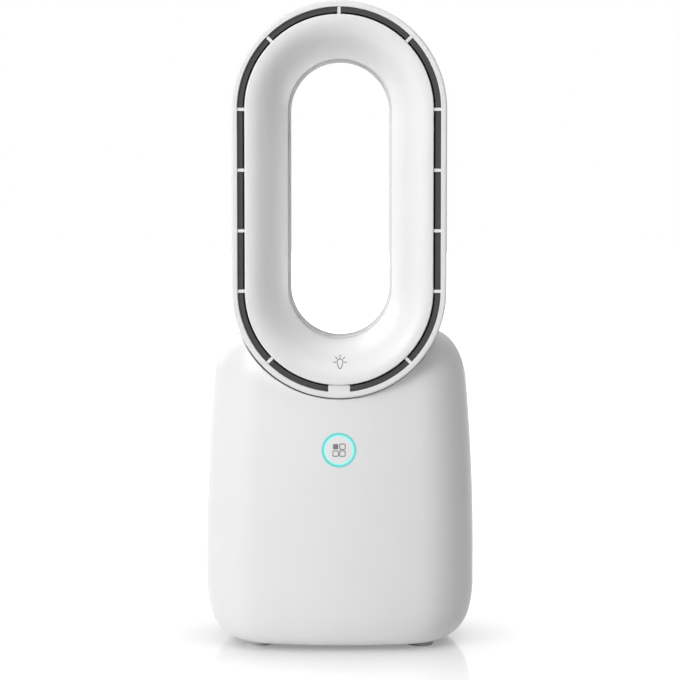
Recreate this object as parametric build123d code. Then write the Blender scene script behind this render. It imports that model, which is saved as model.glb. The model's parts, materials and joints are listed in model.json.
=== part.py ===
from build123d import *
from math import cos, radians, sin, sqrt
import os

# A bladeless table fan. An upright oval air ring stands in the saddle of a rounded housing. A motor in
# the housing turns an impeller that draws air in through the back, pushes it up the neck into the hollow
# ring and out of a narrow slot round the ring's front edge. Sizes are in millimetres. +X is to the right
# as seen from the front, +Y to the back and +Z up. The origin is on the table under the housing's centre.

# ------------------------------------------------------------------ sizes: air ring
RING_OUTER_R = 59.25  # outside radius of the ring's round ends
RING_STRAIGHT = 99.8  # straight stretch between the round ends
RING_CENTRE_Z = 251.6
RING_FRONT_Y = -52.0
RING_DEPTH = 80.0
RING_WALL = 1.6
RING_DRAFT = 1.4  # how much the outer wall narrows towards the back
RING_EDGE_ROUND = 1.2
BACK_OUTER_ROUND = 17.0
BACK_INNER_ROUND = 12.0
RIM_WIDTH = 1.4  # the slot's outer wall, inside the ring's own
RIM_CAP = 2.6  # thickness of the rim that covers the outer wall's front edge
RIM_DEPTH = 8.0
RIM_ROUND = 0.4
TONGUE_WIDTH_R, TONGUE_REACH, TONGUE_ROOT = 1.2, 3.0, 5.0  # joins the ring's back to its outer wall
SEAM = 0.1  # gap where two moulded pieces meet
SLOT_WIDTH = 4.05
SLOT_WALL_DEPTH = 11.0
LIP_WIDTH = 1.45  # flat lip between the slot and the funnel
LIP_WALL = 1.3
LIP_ROUND = 0.7
FUNNEL_DEPTH = 46.0
FUNNEL_WALL = 2.0
THROAT_R = 29.4
THROAT_STEP = 1.1  # the light diffuser stands this far inside the funnel's end
SIDE_BARS = 4  # bars across the slot along each straight side
BAR_THICKNESS = 1.7
BAR_DEPTH = 3.0
BAR_SETBACK = 0.9
BRIDGE_WIDTH = 12.0  # solid bridge across the slot at the ring's foot
BRIDGE_SETBACK = 1.3
LINER_WALL = 0.8
LINER_PLATE = 1.0
LINER_SETBACK = 1.4
LINER_DEPTH = 6.0
LINER_GAP = 0.1
OUTLET_WIDTH = 1.0  # the air slit between the liner and the funnel's lip
LINER_NOTCH_GAP = 0.15

# ------------------------------------------------------------------ sizes: night light in the throat
DIFFUSER_WALL = 1.9
REFLECTOR_R = 6.9  # reflector's outside above the diffuser's inner face
REFLECTOR_WALL = 1.2
REFLECTOR_INSET = 1.6  # from the diffuser's ends
LED_STRIP_THICKNESS = 0.4
LED_STRIP_WIDTH = 9.0
LED_SIZE = 3.4
LED_HEIGHT = 1.0
LEDS_PER_END = 9
LEDS_PER_SIDE = 6
TOUCH_FILM_THICKNESS = 0.5
TOUCH_FILM_ANGLE = 18.0
TOUCH_FILM_FROM, TOUCH_FILM_TO = 35.0, 62.0  # along the funnel's curve, in degrees from its crest

# ------------------------------------------------------------------ sizes: housing
HALF_WIDTH = 76.4  # at the widest level
HALF_DEPTH = 52.0
WIDEST_Z = 50.0
HOUSING_BOTTOM_Z = 2.2
HOUSING_TOP_Z = 176.0
SIDE_BOW_R = 1140.0  # the sides' bow, seen from the front
FACE_BOW_R = 2200.0  # the front's and back's bow, seen from the side
FACE_CROWN = 9.0  # how far the front and back bulge across the width
SIDE_CROWN = 5.0
CORNER_SHARE = 0.66  # plan corner radius, as a share of the level's half depth
UNDER_CORNER_SHARE = 0.42  # the same right at the bottom
UNDER_ROUND_WIDTH, UNDER_ROUND_DEPTH, UNDER_ROUND_HEIGHT = 26.0, 12.0, 34.0
UNDER_ROUND_POWER = 2.7  # 2 is an ellipse, more is squarer
TOP_ROUND_WIDTH, TOP_ROUND_DEPTH, TOP_ROUND_HEIGHT = 15.0, 10.0, 26.0
WALL = 2.4
SADDLE_GAP = 0.7  # under the ring's foot
SADDLE_SPREAD = 1.2  # the saddle's centre above the ring's, so the gap widens towards its ends
SADDLE_SHIFT = 0.5  # and left of it, so the gap is wider on the left
SEAL_STRIP_SETBACK, SEAL_STRIP_DEPTH = 2.0, 4.0  # foam in that gap, behind the housing's face
SEAL_STRIP_BACK_Y = -26.0  # where it ends at the saddle's tips
SADDLE_EDGE_ROUND = 0.5
PARTING_Y = -12.0  # where the front and the rear shell meet, round the neck
PARTING_GAP = 0.3
COVER_WIDTH, COVER_LENGTH_Y, COVER_CORNER = 116.0, 76.0, 19.0
COVER_GAP = 0.3
COVER_TOOL_Z = 14.0  # the bottom cover is cut from the walls below this level

# ------------------------------------------------------------------ sizes: feet and fasteners
FOOT_R = 8.0
FOOT_TAPER = 0.8
FOOT_X, FOOT_Y = 45.6, 25.0
FOOT_POCKET_Z = 4.6
FOOT_GAP = 0.1
PAD_WALL = 1.6  # round and above each foot pocket
SCREW_R = 1.3
SCREW_HOLE_R = 1.6
SCREW_HEAD_R = 2.6
SCREW_HEAD_H = 1.3
BOSS_R = 3.6
WEB = 2.0
COVER_SCREW_X, COVER_SCREW_Y = 24.0, 31.0
COVER_PAD_TOP_Z = 6.4
COVER_BOSS_Z = 6.5
COVER_BOSS_TOP_Z = 20.0
COVER_HEAD_Z = 4.2  # top of the screw heads
SHELL_SCREW_X = 61.0
SHELL_SCREW_Z = (30.0, 132.0)
WELL_R, WELL_BORE_R = 4.6, 3.0  # long screw wells in the rear shell
SHELL_SCREW_SEAT = 8.0  # wall of the rear boss under the screw head
SHELL_SCREW_REACH = 10.0  # into the front boss

# ------------------------------------------------------------------ sizes: air intake at the back
INTAKE_Z = 76.0
PANEL_WIDTH, PANEL_HEIGHT, PANEL_CORNER = 92.0, 78.0, 14.0
PANEL_GAP = 0.3
LEDGE = 6.0  # seat round the opening, behind the panel's edge
LEDGE_THICKNESS = 2.0
LEDGE_BORDER = 4.0
FILTER_GAP = 0.5
FILTER_THICKNESS = 1.2
FILTER_FRAME = 3.0
FILTER_COLUMNS, FILTER_ROWS = 10, 8
FILTER_BAR = 0.8
GRILLE_COLUMNS, GRILLE_ROWS = 17, 3
GRILLE_SLOT_WIDTH, GRILLE_SLOT_HEIGHT = 2.4, 19.0
GRILLE_PITCH_X, GRILLE_PITCH_Z = 4.7, 22.0
SNAP_PIN_R = 1.8
SIDE_PIN_END_Y, MIDDLE_PIN_END_Y = HALF_DEPTH - 9.0, HALF_DEPTH - 6.0
SNAP_PIN_GAP = 0.2
FINGER_WIDTH, FINGER_HEIGHT, FINGER_DEPTH = 18.0, 5.0, 1.4

# ------------------------------------------------------------------ sizes: impeller and motor, from below
GROMMET_X, GROMMET_Y = 48.0, 14.0
GROMMET_R, GROMMET_HEIGHT = 6.0, 6.0
LUG_RADIUS, LUG_R = 43.0, 4.0  # screw lugs that join the duct's pieces
LUG_ANGLES = (35, 145, 215, 325)
LUG, LOWER_LUG = 4.0, 6.0
POST_R = 4.5
EAR_R = 7.0
MOUNT_SCREW_LENGTH = 18.0
SHROUD_Z = 41.0  # underside of the shroud's mounting flange
SHROUD_WALL = 2.0
FLANGE_R = 44.0
BELL_R = 6.0
INLET_R = 33.5
DUCT_R = 39.6
IMPELLER_TOP_Z = 72.0
SHROUD_TOP_Z = 76.0
TIP_GAP = 0.8
HUB_NOSE_R, HUB_TOP_R = 7.0, 24.0
HUB_NOSE_Z = 47.0
HUB_SHELL = 2.0
HUB_CORE_R = 4.5
BLADES = 11
BLADE_THICKNESS = 1.2
BLADE_SWEEP = 52.0  # degrees from root to tip
DUCT_TOP_Z = 104.0
BUCKET_R = 25.0
BUCKET_WALL = 1.6
BUCKET_FLOOR = 2.0
BUCKET_GAP = 1.2  # above the impeller
BUCKET_TOP_Z = 101.0
GUIDE_VANES = 9
VANE_THICKNESS = 1.4
VANE_BOTTOM_Z, VANE_TOP_Z = 80.0, 99.0
VANE_TILT = 14.0
CAP_HEIGHT, CAP_EDGE = 9.0, 1.0
SHAFT_R = 1.5
SHAFT_GAP = 0.05
SHAFT_HOLE_R = 3.0
BEARING_R, BEARING_HEIGHT = 5.0, 4.0
TUBE_WALL = 1.4
TUBE_HEIGHT = 15.8
TUBE_FLANGE_R, TUBE_FLANGE = 10.0, 1.2
MOTOR_BOARD_R = 15.0
MOTOR_BOARD = 1.0
STATOR_R = 15.2
STATOR_HEIGHT = 9.0
STATOR_LIFT = 5.6  # stator above the bucket's floor
STATOR_CORE_R = 8.6
TEETH = 9
TOOTH_WIDTH = 2.6
TOOTH_FOOT_WIDTH, TOOTH_FOOT = 7.2, 1.4
COIL_THICKNESS = 1.1
AIR_GAP = 0.7
MAGNET = 1.7
CAN_WALL = 1.4
CAN_HEIGHT = 13.5

# ------------------------------------------------------------------ sizes: outlet duct and neck
NECK_Y = -12.0
NECK_A, NECK_B = 34.0, 22.0  # half axes of the neck's outside
NECK_WALL = 2.0
FLANGE_A, FLANGE_B = 41.0, 24.0
FLANGE_THICKNESS = 2.2
DUCT_FLANGE_Z = 124.0
SEAL = 2.0
NECK_HOLE_GAP = 1.2
NECK_SCREW_X = 36.8
NECK_BOSS_R, NECK_BOSS_HEIGHT = 3.2, 8.0

# ------------------------------------------------------------------ sizes: mode key, boards and power inlet
KEY_Z = 113.6
KEY_R = 7.9
KEY_GAP = 0.25
KEY_FACE_Y = 0.9 - HALF_DEPTH  # the housing's face at the key
KEY_CROWN = 1.8
KEY_SKIRT_R = 6.5
KEY_BACK_Y, KEY_FLANGE_Y = KEY_FACE_Y + 4.2, KEY_FACE_Y + 5.0
KEY_FLANGE_R = 9.2
KEY_TRAVEL = 0.8
STEM_R = 2.0
STEM_END_Y = KEY_FACE_Y + 3.5
PLUNGER_R = 1.4
PLUNGER_GAP = 0.06
PLUNGER_END_Y = KEY_FACE_Y + 5.9
SWITCH_SIZE, SWITCH_DEPTH = 6.0, 3.2
GUIDE_WIDTH = 1.5  # light guide ring round the key
GUIDE_BACK_Y = KEY_FACE_Y + 4.1
GUIDE_FLANGE_R, GUIDE_FLANGE = 11.2, 1.0
KEY_BOARD_Y = KEY_FACE_Y + 9.1  # its back
KEY_BOARD_WIDTH, KEY_BOARD_HEIGHT, BOARD = 34.0, 28.0, 1.2
KEY_BOSS_X, KEY_BOSS_Z = 13.5, 10.5
KEY_BOSS_R = 2.2
KEY_LEDS = 6
KEY_LED_SIZE, KEY_LED_DEPTH = 1.6, 0.8
MAIN_BOARD_WIDTH, MAIN_BOARD_DEPTH, MAIN_BOARD_Z = 76.0, 50.0, 14.0
MAIN_POST_X, MAIN_POST_Y, MAIN_POST_R = 33.0, 20.0, 2.5
INLET_Z = 20.0
SOCKET_WIDTH, SOCKET_HEIGHT, SOCKET_LENGTH = 8.94, 3.26, 7.4
SOCKET_SHELL = 0.3
TONGUE_WIDTH, TONGUE_THICKNESS, TONGUE_LENGTH = 6.7, 0.7, 5.4
SOCKET_CLEARANCE = 0.3
INLET_RECESS_WIDTH, INLET_RECESS_HEIGHT, INLET_RECESS_Y = 14.0, 8.0, HALF_DEPTH - 2.6
INLET_BOARD_WIDTH, INLET_BOARD_FROM_Y, INLET_BOARD_TO_Y = 20.0, HALF_DEPTH - 18.0, HALF_DEPTH - 5.2
SHELF = 2.5

# ------------------------------------------------------------------ sizes: wiring
WIRE_R = 1.0
WIRE_HOLE_R = 1.4
WIRE_X = 47.4
WIRE_Z = 17.7  # where the leads meet the main board's connectors
NECK_WIRE_Y, NECK_WIRE_Z = -20.0, 134.2
RING_WIRE_X, RING_WIRE_Y, RING_WIRE_Z = 14.0, 5.0, 152.0
KEY_WIRE_X, KEY_WIRE_Y = 5.0, KEY_FACE_Y + 5.1
CONNECTOR = 6.0
CONNECTOR_HEIGHT = 5.0

# ------------------------------------------------------------------ worked out from the sizes above
LOW_Z = RING_CENTRE_Z - RING_STRAIGHT / 2  # centre of the ring's lower round end
HIGH_Z = RING_CENTRE_Z + RING_STRAIGHT / 2
RING_BACK_Y = RING_FRONT_Y + RING_DEPTH
RIM_OUTER_R = RING_OUTER_R - RING_WALL - SEAM - RING_DRAFT * RIM_DEPTH / (RING_DEPTH - BACK_OUTER_ROUND)
SLOT_OUTER_R = RIM_OUTER_R - RIM_WIDTH
SLOT_INNER_R = SLOT_OUTER_R - SLOT_WIDTH
CREST_R = SLOT_INNER_R - LIP_WIDTH
BEND_Y = RING_BACK_Y - BACK_OUTER_ROUND  # where the ring's outer wall meets its back
THROAT_Y = RING_FRONT_Y + FUNNEL_DEPTH
DIFFUSER_R = THROAT_R - THROAT_STEP
DIFFUSER_FRONT_Y = THROAT_Y + SEAM
DIFFUSER_BACK_Y = RING_BACK_Y - BACK_INNER_ROUND - SEAM
SADDLE_R = RING_OUTER_R + SADDLE_GAP + SADDLE_SPREAD
SADDLE_X, SADDLE_Z = -SADDLE_SHIFT, LOW_Z + SADDLE_SPREAD
COVER_TOP_Z = HOUSING_BOTTOM_Z + WALL
BUCKET_FLOOR_Z = IMPELLER_TOP_Z + BUCKET_GAP
BUCKET_INSIDE_Z = BUCKET_FLOOR_Z + BUCKET_FLOOR
STATOR_Z = BUCKET_INSIDE_Z + STATOR_LIFT
MAGNET_R = STATOR_R + AIR_GAP
CAN_R = MAGNET_R + MAGNET + CAN_WALL
CAN_TOP_Z = STATOR_Z + CAN_HEIGHT - 1.0
TUBE_R = BEARING_R + TUBE_WALL
SEAL_Z = DUCT_FLANGE_Z + FLANGE_THICKNESS
NECK_Z = SEAL_Z + SEAL
KEY_BORE_R = KEY_R + KEY_GAP
GUIDE_R = KEY_BORE_R + GUIDE_WIDTH
MAIN_BOARD_TOP_Z = MAIN_BOARD_Z + BOARD
MOTOR_WIRE_Z = BUCKET_INSIDE_Z + TUBE_FLANGE + MOTOR_BOARD + WIRE_R
CORNERS = [(x, y) for x in (-1, 1) for y in (-1, 1)]


# ------------------------------------------------------------------ helpers
def along_y(sketch, from_y, to_y, z=0.0):
    """Runs a front-view sketch (x to the right, y up) from one depth to another."""
    plane = Plane((0, to_y, z), x_dir=(1, 0, 0), z_dir=(0, -1, 0))
    return extrude(plane * sketch, to_y - from_y)


def along_z(sketch, from_z, to_z):
    return Pos(0, 0, from_z) * extrude(sketch, to_z - from_z)


def turned(*points):
    """Turns an outline of (radius, height) points about the Z axis."""
    return revolve(Plane.XZ * make_face(Polyline(*points, close=True)), Axis.Z)


def disc(radius, from_z, to_z, x=0.0, y=0.0):
    return Pos(x, y, 0) * along_z(Circle(radius), from_z, to_z)


def tube(outer_r, inner_r, from_z, to_z, x=0.0, y=0.0):
    return disc(outer_r, from_z, to_z, x, y) - disc(inner_r, from_z, to_z, x, y)


def pin_y(radius, from_y, to_y, x, z):
    return along_y(Pos(x, z) * Circle(radius), from_y, to_y)


def group(solids):
    return Compound(children=list(solids))


def round_ring(profile):
    """Carries a (radius, depth) outline round the ring: turned round both ends, straight between them."""
    over = revolve(Pos(0, 0, HIGH_Z) * profile, Axis((0, 0, HIGH_Z), (0, -1, 0)), 180)
    under = revolve(Pos(0, 0, LOW_Z) * profile, Axis((0, 0, LOW_Z), (0, 1, 0)), 180)
    right = extrude(Pos(0, 0, LOW_Z) * profile, RING_STRAIGHT, dir=(0, 0, 1))
    return over + under + right + mirror(right, Plane.YZ)


def block(from_r, to_r, from_y, to_y):
    """A rectangle in the ring's (radius, depth) outline."""
    return Pos((from_r + to_r) / 2, (from_y + to_y) / 2) * Rectangle(to_r - from_r, to_y - from_y)


def oval_column(radius, from_y, to_y):
    """Everything within a distance of the ring's middle line, between two depths."""
    return along_y(SlotCenterToCenter(RING_STRAIGHT, radius * 2, rotation=90), from_y, to_y, RING_CENTRE_Z)


def ring_bars(thickness, from_r, to_r, from_y, to_y):
    """Bars across the slot: at the top, on the diagonals and along both straight sides."""
    step = RING_STRAIGHT / (SIDE_BARS - 1)
    places = [(HIGH_Z, angle) for angle in (45, 90, 135)] + [(LOW_Z, angle) for angle in (225, 315)]
    places += [(LOW_Z + i * step, angle) for i in range(SIDE_BARS) for angle in (0, 180)]
    bar = Pos((from_r + to_r) / 2, (from_y + to_y) / 2, 0) * Box(to_r - from_r, to_y - from_y, thickness)
    return [Pos(0, 0, z) * Rot(0, -angle, 0) * bar for z, angle in places]


def foot_bridge(width, from_r, to_r, from_y, to_y):
    """The wide bridge across the slot at the ring's foot."""
    bar = Pos((from_r + to_r) / 2, (from_y + to_y) / 2, 0) * Box(to_r - from_r, to_y - from_y, width)
    return Pos(0, 0, LOW_Z) * Rot(0, 90, 0) * bar


# ------------------------------------------------------------------ air ring
def ring_funnel():
    """The visible funnel with the slot's lip and inner wall."""
    a, b = CREST_R - THROAT_R, FUNNEL_DEPTH
    crest_y = RING_FRONT_Y + FUNNEL_WALL
    slot_end_y = RING_FRONT_Y + SLOT_WALL_DEPTH
    lip_r = SLOT_INNER_R - LIP_WALL
    return round_ring(make_face(
        [
            EllipticalCenterArc((CREST_R, THROAT_Y), a, b, 180, arc_size=90),
            Line((CREST_R, RING_FRONT_Y), (SLOT_INNER_R - LIP_ROUND, RING_FRONT_Y)),
            CenterArc((SLOT_INNER_R - LIP_ROUND, RING_FRONT_Y + LIP_ROUND), LIP_ROUND, 270, 90),
            Polyline((SLOT_INNER_R, RING_FRONT_Y + LIP_ROUND), (SLOT_INNER_R, slot_end_y),
                     (lip_r, slot_end_y), (lip_r, crest_y), (CREST_R, crest_y)),
            EllipticalCenterArc((CREST_R, THROAT_Y), a - FUNNEL_WALL, b - FUNNEL_WALL, 180, arc_size=90),
            Line((THROAT_R + FUNNEL_WALL, THROAT_Y), (THROAT_R, THROAT_Y)),
        ]
    ))


def slot_frame():
    """The ring's rim, which covers the outer wall's edge, with the bars and the bridge across the slot."""
    cap_y = RING_FRONT_Y + RIM_CAP
    rim = block(SLOT_OUTER_R, RING_OUTER_R, RING_FRONT_Y, cap_y)
    rim = fillet(rim.vertices().group_by(Axis.Y)[0].sort_by(Axis.X)[0], RIM_ROUND)
    rim = fillet(rim.vertices().group_by(Axis.Y)[0].sort_by(Axis.X)[-1], RING_EDGE_ROUND)
    rim += block(SLOT_OUTER_R, RIM_OUTER_R, cap_y - 1, RING_FRONT_Y + RIM_DEPTH)
    from_r, to_r = SLOT_INNER_R + SEAM, SLOT_OUTER_R + RIM_WIDTH / 2
    back = RING_FRONT_Y + BAR_SETBACK + BAR_DEPTH
    bars = ring_bars(BAR_THICKNESS, from_r, to_r, RING_FRONT_Y + BAR_SETBACK, back)
    bars.append(foot_bridge(BRIDGE_WIDTH, from_r, to_r, RING_FRONT_Y + BRIDGE_SETBACK, back))
    return round_ring(rim) + bars


def ring_outer_shell():
    """The ring's outer wall, with the neck that carries it in the housing."""
    edge_y = RING_FRONT_Y + RIM_CAP + SEAM
    outer_r, back_r = RING_OUTER_R, RING_OUTER_R - RING_DRAFT
    profile = make_face(Polyline((outer_r - RING_WALL, edge_y), (outer_r, edge_y), (back_r, BEND_Y),
                                 (back_r - RING_WALL, BEND_Y), close=True))
    inside = oval_column(RING_OUTER_R - RING_DRAFT / 2 - RING_WALL / 2, RING_FRONT_Y, RING_BACK_Y)
    neck = Pos(0, NECK_Y) * along_z(Ellipse(NECK_A, NECK_B), NECK_Z, LOW_Z - RING_OUTER_R / 2) - inside
    neck += Pos(0, NECK_Y) * along_z(Ellipse(FLANGE_A, FLANGE_B), NECK_Z, NECK_Z + FLANGE_THICKNESS)
    for x in (-NECK_SCREW_X, NECK_SCREW_X):
        neck += disc(NECK_BOSS_R, NECK_Z, NECK_Z + NECK_BOSS_HEIGHT, x, NECK_Y)
    bore = Ellipse(NECK_A - NECK_WALL, NECK_B - NECK_WALL)
    shell = round_ring(profile) + neck - Pos(0, NECK_Y) * along_z(bore, NECK_Z, LOW_Z - RING_OUTER_R / 2)
    for x in (-NECK_SCREW_X, NECK_SCREW_X):
        shell -= disc(SCREW_R, NECK_Z, NECK_Z + NECK_BOSS_HEIGHT - 1.5, x, NECK_Y)
    return shell


def ring_back_shell():
    """The ring's rounded back, with a tongue that slips inside the outer wall."""
    back_r = RING_OUTER_R - RING_DRAFT
    outer_bend = (back_r - BACK_OUTER_ROUND, BEND_Y)
    inner_bend = (DIFFUSER_R + BACK_INNER_ROUND, RING_BACK_Y - BACK_INNER_ROUND)
    profile = make_face(
        [
            CenterArc(outer_bend, BACK_OUTER_ROUND, 0, 90),
            Line((outer_bend[0], RING_BACK_Y), (inner_bend[0], RING_BACK_Y)),
            CenterArc(inner_bend, BACK_INNER_ROUND, 90, 90),
            Line((DIFFUSER_R, inner_bend[1]), (DIFFUSER_R + RING_WALL, inner_bend[1])),
            CenterArc(inner_bend, BACK_INNER_ROUND - RING_WALL, 90, 90),
            Line((inner_bend[0], RING_BACK_Y - RING_WALL), (outer_bend[0], RING_BACK_Y - RING_WALL)),
            CenterArc(outer_bend, BACK_OUTER_ROUND - RING_WALL, 0, 90),
            Line((back_r - RING_WALL, BEND_Y), (back_r, BEND_Y)),
        ]
    )
    profile -= block(back_r - RING_WALL - 1, back_r + 1, BEND_Y - 1, BEND_Y + SEAM)
    tongue_r = back_r - RING_WALL - SEAM
    profile += block(tongue_r - TONGUE_WIDTH_R, tongue_r, BEND_Y - TONGUE_REACH, BEND_Y + TONGUE_ROOT)
    return round_ring(profile)


def slot_liner():
    """The dark strip in the slot, on a leg along its outer wall; the air comes out beside the lip."""
    inner, outer = SLOT_INNER_R + OUTLET_WIDTH, SLOT_OUTER_R - LINER_GAP
    front = RING_FRONT_Y + LINER_SETBACK
    strip = block(inner, outer, front, front + LINER_PLATE)
    strip += block(outer - LINER_WALL, outer, front, front + LINER_DEPTH)
    notch_y = RING_FRONT_Y + BAR_SETBACK + BAR_DEPTH + LINER_NOTCH_GAP
    spare = 2 * LINER_NOTCH_GAP
    notches = ring_bars(BAR_THICKNESS + spare, inner - 1, outer + 1, RING_FRONT_Y, notch_y)
    notches.append(foot_bridge(BRIDGE_WIDTH + spare, inner - 1, outer + 1, RING_FRONT_Y, notch_y))
    return round_ring(strip) - notches


def light_diffuser():
    return round_ring(block(DIFFUSER_R, DIFFUSER_R + DIFFUSER_WALL, DIFFUSER_FRONT_Y, DIFFUSER_BACK_Y))


def light_reflector():
    """A channel round the diffuser that holds the lamp strip and keeps its light out of the air duct."""
    inner, outer = DIFFUSER_R + DIFFUSER_WALL + SEAM, DIFFUSER_R + REFLECTOR_R
    front, back = DIFFUSER_FRONT_Y + REFLECTOR_INSET, DIFFUSER_BACK_Y - REFLECTOR_INSET
    channel = block(inner, outer, front, back)
    channel -= block(inner, outer - REFLECTOR_WALL, front + REFLECTOR_WALL, back - REFLECTOR_WALL)
    return round_ring(channel)


def strip_outline():
    middle_y = (DIFFUSER_FRONT_Y + DIFFUSER_BACK_Y) / 2
    seat_r = DIFFUSER_R + REFLECTOR_R - REFLECTOR_WALL
    return seat_r - LED_STRIP_THICKNESS, seat_r, middle_y


def led_strip():
    inner, outer, middle_y = strip_outline()
    return round_ring(block(inner, outer, middle_y - LED_STRIP_WIDTH / 2, middle_y + LED_STRIP_WIDTH / 2))


def led_chips():
    """Small lamps on the strip, evenly spaced round each end and up each side."""
    inner, _, middle_y = strip_outline()
    chip = Pos(inner - LED_HEIGHT / 2 - 0.12, middle_y, 0) * Box(LED_HEIGHT, LED_SIZE, LED_SIZE)
    chips = []
    for i in range(LEDS_PER_END):
        angle = 180 * (i + 0.5) / LEDS_PER_END
        chips.append(Pos(0, 0, HIGH_Z) * Rot(0, -angle, 0) * chip)
        chips.append(Pos(0, 0, LOW_Z) * Rot(0, angle, 0) * chip)
    for i in range(LEDS_PER_SIDE):
        z = LOW_Z + RING_STRAIGHT * (i + 0.5) / LEDS_PER_SIDE
        chips.append(Pos(0, 0, z) * chip)
        chips.append(Pos(0, 0, z) * Rot(0, 180, 0) * mirror(chip, Plane.XZ.offset(-middle_y)))
    return group(chips)


def light_touch_film():
    """The sensing film behind the lamp mark at the ring's foot."""
    a, b = CREST_R - THROAT_R - FUNNEL_WALL - SEAM, FUNNEL_DEPTH - FUNNEL_WALL - SEAM
    start, end = 270 - TOUCH_FILM_TO, 270 - TOUCH_FILM_FROM
    inner_a, inner_b = a - TOUCH_FILM_THICKNESS, b - TOUCH_FILM_THICKNESS

    def at(half_a, half_b, angle):
        return (CREST_R + half_a * cos(radians(angle)), THROAT_Y + half_b * sin(radians(angle)))

    film = make_face(
        [
            EllipticalCenterArc((CREST_R, THROAT_Y), a, b, start, arc_size=end - start),
            Line(at(a, b, end), at(inner_a, inner_b, end)),
            EllipticalCenterArc((CREST_R, THROAT_Y), inner_a, inner_b, start, arc_size=end - start),
            Line(at(inner_a, inner_b, start), at(a, b, start)),
        ]
    )
    swung = revolve(Pos(0, 0, LOW_Z) * film, Axis((0, 0, LOW_Z), (0, 1, 0)), TOUCH_FILM_ANGLE)
    return Pos(0, 0, LOW_Z) * Rot(0, 90 - TOUCH_FILM_ANGLE / 2, 0) * Pos(0, 0, -LOW_Z) * swung


# ------------------------------------------------------------------ housing
def level(z, inset):
    """The housing's plan outline at a height, drawn in by an inset."""
    under = max(0.0, (HOUSING_BOTTOM_Z + UNDER_ROUND_HEIGHT - z) / UNDER_ROUND_HEIGHT)
    over = max(0.0, (z - HOUSING_TOP_Z + TOP_ROUND_HEIGHT) / TOP_ROUND_HEIGHT)
    under = 1 - max(0.0, 1 - under**UNDER_ROUND_POWER) ** (1 / UNDER_ROUND_POWER)
    over = 1 - sqrt(max(0.0, 1 - over**2))
    width = HALF_WIDTH - (z - WIDEST_Z) ** 2 / (2 * SIDE_BOW_R)
    depth = HALF_DEPTH - (z - WIDEST_Z) ** 2 / (2 * FACE_BOW_R)
    width -= UNDER_ROUND_WIDTH * under + TOP_ROUND_WIDTH * over + inset
    depth -= UNDER_ROUND_DEPTH * under + TOP_ROUND_DEPTH * over + inset
    corner_x, corner_y = width * (1 - SIDE_CROWN / HALF_WIDTH), depth * (1 - FACE_CROWN / HALF_DEPTH)
    outline = make_face(
        [
            ThreePointArc((-corner_x, -corner_y), (0, -depth), (corner_x, -corner_y)),
            ThreePointArc((corner_x, -corner_y), (width, 0), (corner_x, corner_y)),
            ThreePointArc((corner_x, corner_y), (0, depth), (-corner_x, corner_y)),
            ThreePointArc((-corner_x, corner_y), (-width, 0), (-corner_x, -corner_y)),
        ]
    )
    return fillet(outline.vertices(), depth * (CORNER_SHARE + (UNDER_CORNER_SHARE - CORNER_SHARE) * under))


def round_heights(power):
    """Shares of a rounding's height, from its flat end, at even turns round the curve."""
    turns = [radians(angle) for angle in (0, 15, 30, 45, 60, 75, 90)]
    return [1 - cos(t) / (cos(t) ** power + sin(t) ** power) ** (1 / power) for t in turns]


def pillow(inset):
    """The housing's rounded block, drawn in by an inset all round, with no saddle."""
    bottom, top = HOUSING_BOTTOM_Z, HOUSING_TOP_Z
    under = [bottom + UNDER_ROUND_HEIGHT * share for share in round_heights(UNDER_ROUND_POWER)]
    over = [top - TOP_ROUND_HEIGHT * share for share in reversed(round_heights(2))]
    sides = [under[-1], (under[-1] + over[0]) / 2, over[0]]
    squeeze = (top - bottom - 2 * inset) / (top - bottom)
    bands = []
    for heights in (under, sides, over):
        places = [Pos(0, 0, bottom + inset + (z - bottom) * squeeze) for z in heights]
        bands.append(loft([place * level(z, inset) for place, z in zip(places, heights)]))
    return bands[0] + bands[1:]


def saddle(radius):
    reach = 2 * HALF_DEPTH
    return along_y(Pos(SADDLE_X, SADDLE_Z) * Circle(radius), -reach, reach)


def front_half(sign):
    """The space in front of (-1) or behind (+1) the parting between the two shells."""
    reach = 4 * HALF_WIDTH
    edge = PARTING_Y + sign * PARTING_GAP / 2
    return Pos(0, edge + sign * reach / 2, HOUSING_TOP_Z / 2) * Box(reach, reach, reach)


def cover_tool(gap):
    outline = RectangleRounded(COVER_WIDTH + 2 * gap, COVER_LENGTH_Y + 2 * gap, COVER_CORNER + gap)
    return along_z(outline, HOUSING_BOTTOM_Z - 1, COVER_TOOL_Z)


def panel_tool(gap, from_y=PARTING_Y, to_y=2 * HALF_DEPTH):
    outline = RectangleRounded(PANEL_WIDTH + 2 * gap, PANEL_HEIGHT + 2 * gap, PANEL_CORNER + gap)
    return along_y(outline, from_y, to_y, INTAKE_Z)


def snap_pins(radius):
    """Two pins at the intake panel's sides and two at its middle, top and bottom."""
    x, z = PANEL_WIDTH / 2 - LEDGE / 2, PANEL_HEIGHT / 2 - LEDGE / 2
    back = 2 * HALF_DEPTH
    pins = [pin_y(radius, SIDE_PIN_END_Y, back, side * x, INTAKE_Z) for side in (-1, 1)]
    return pins + [pin_y(radius, MIDDLE_PIN_END_Y, back, 0, INTAKE_Z + side * z) for side in (-1, 1)]


def neck_column(grow, from_z, to_z):
    return Pos(0, NECK_Y) * along_z(Ellipse(NECK_A + grow, NECK_B + grow), from_z, to_z)


def saddle_rims(solid):
    """The curved edges where the saddle breaks through the front and the back."""
    for edge in solid.edges():
        middle = edge @ 0.5
        reach = Vector(middle.X - SADDLE_X, 0, middle.Z - SADDLE_Z).length
        if abs(reach - SADDLE_R) < 0.01 and edge.geom_type != GeomType.LINE:
            yield edge


OUTER = pillow(0) - saddle(SADDLE_R)
OUTER = fillet(list(saddle_rims(OUTER)), SADDLE_EDGE_ROUND)
INNER = pillow(WALL) - saddle(SADDLE_R + WALL)
WALLS = OUTER - INNER


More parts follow.
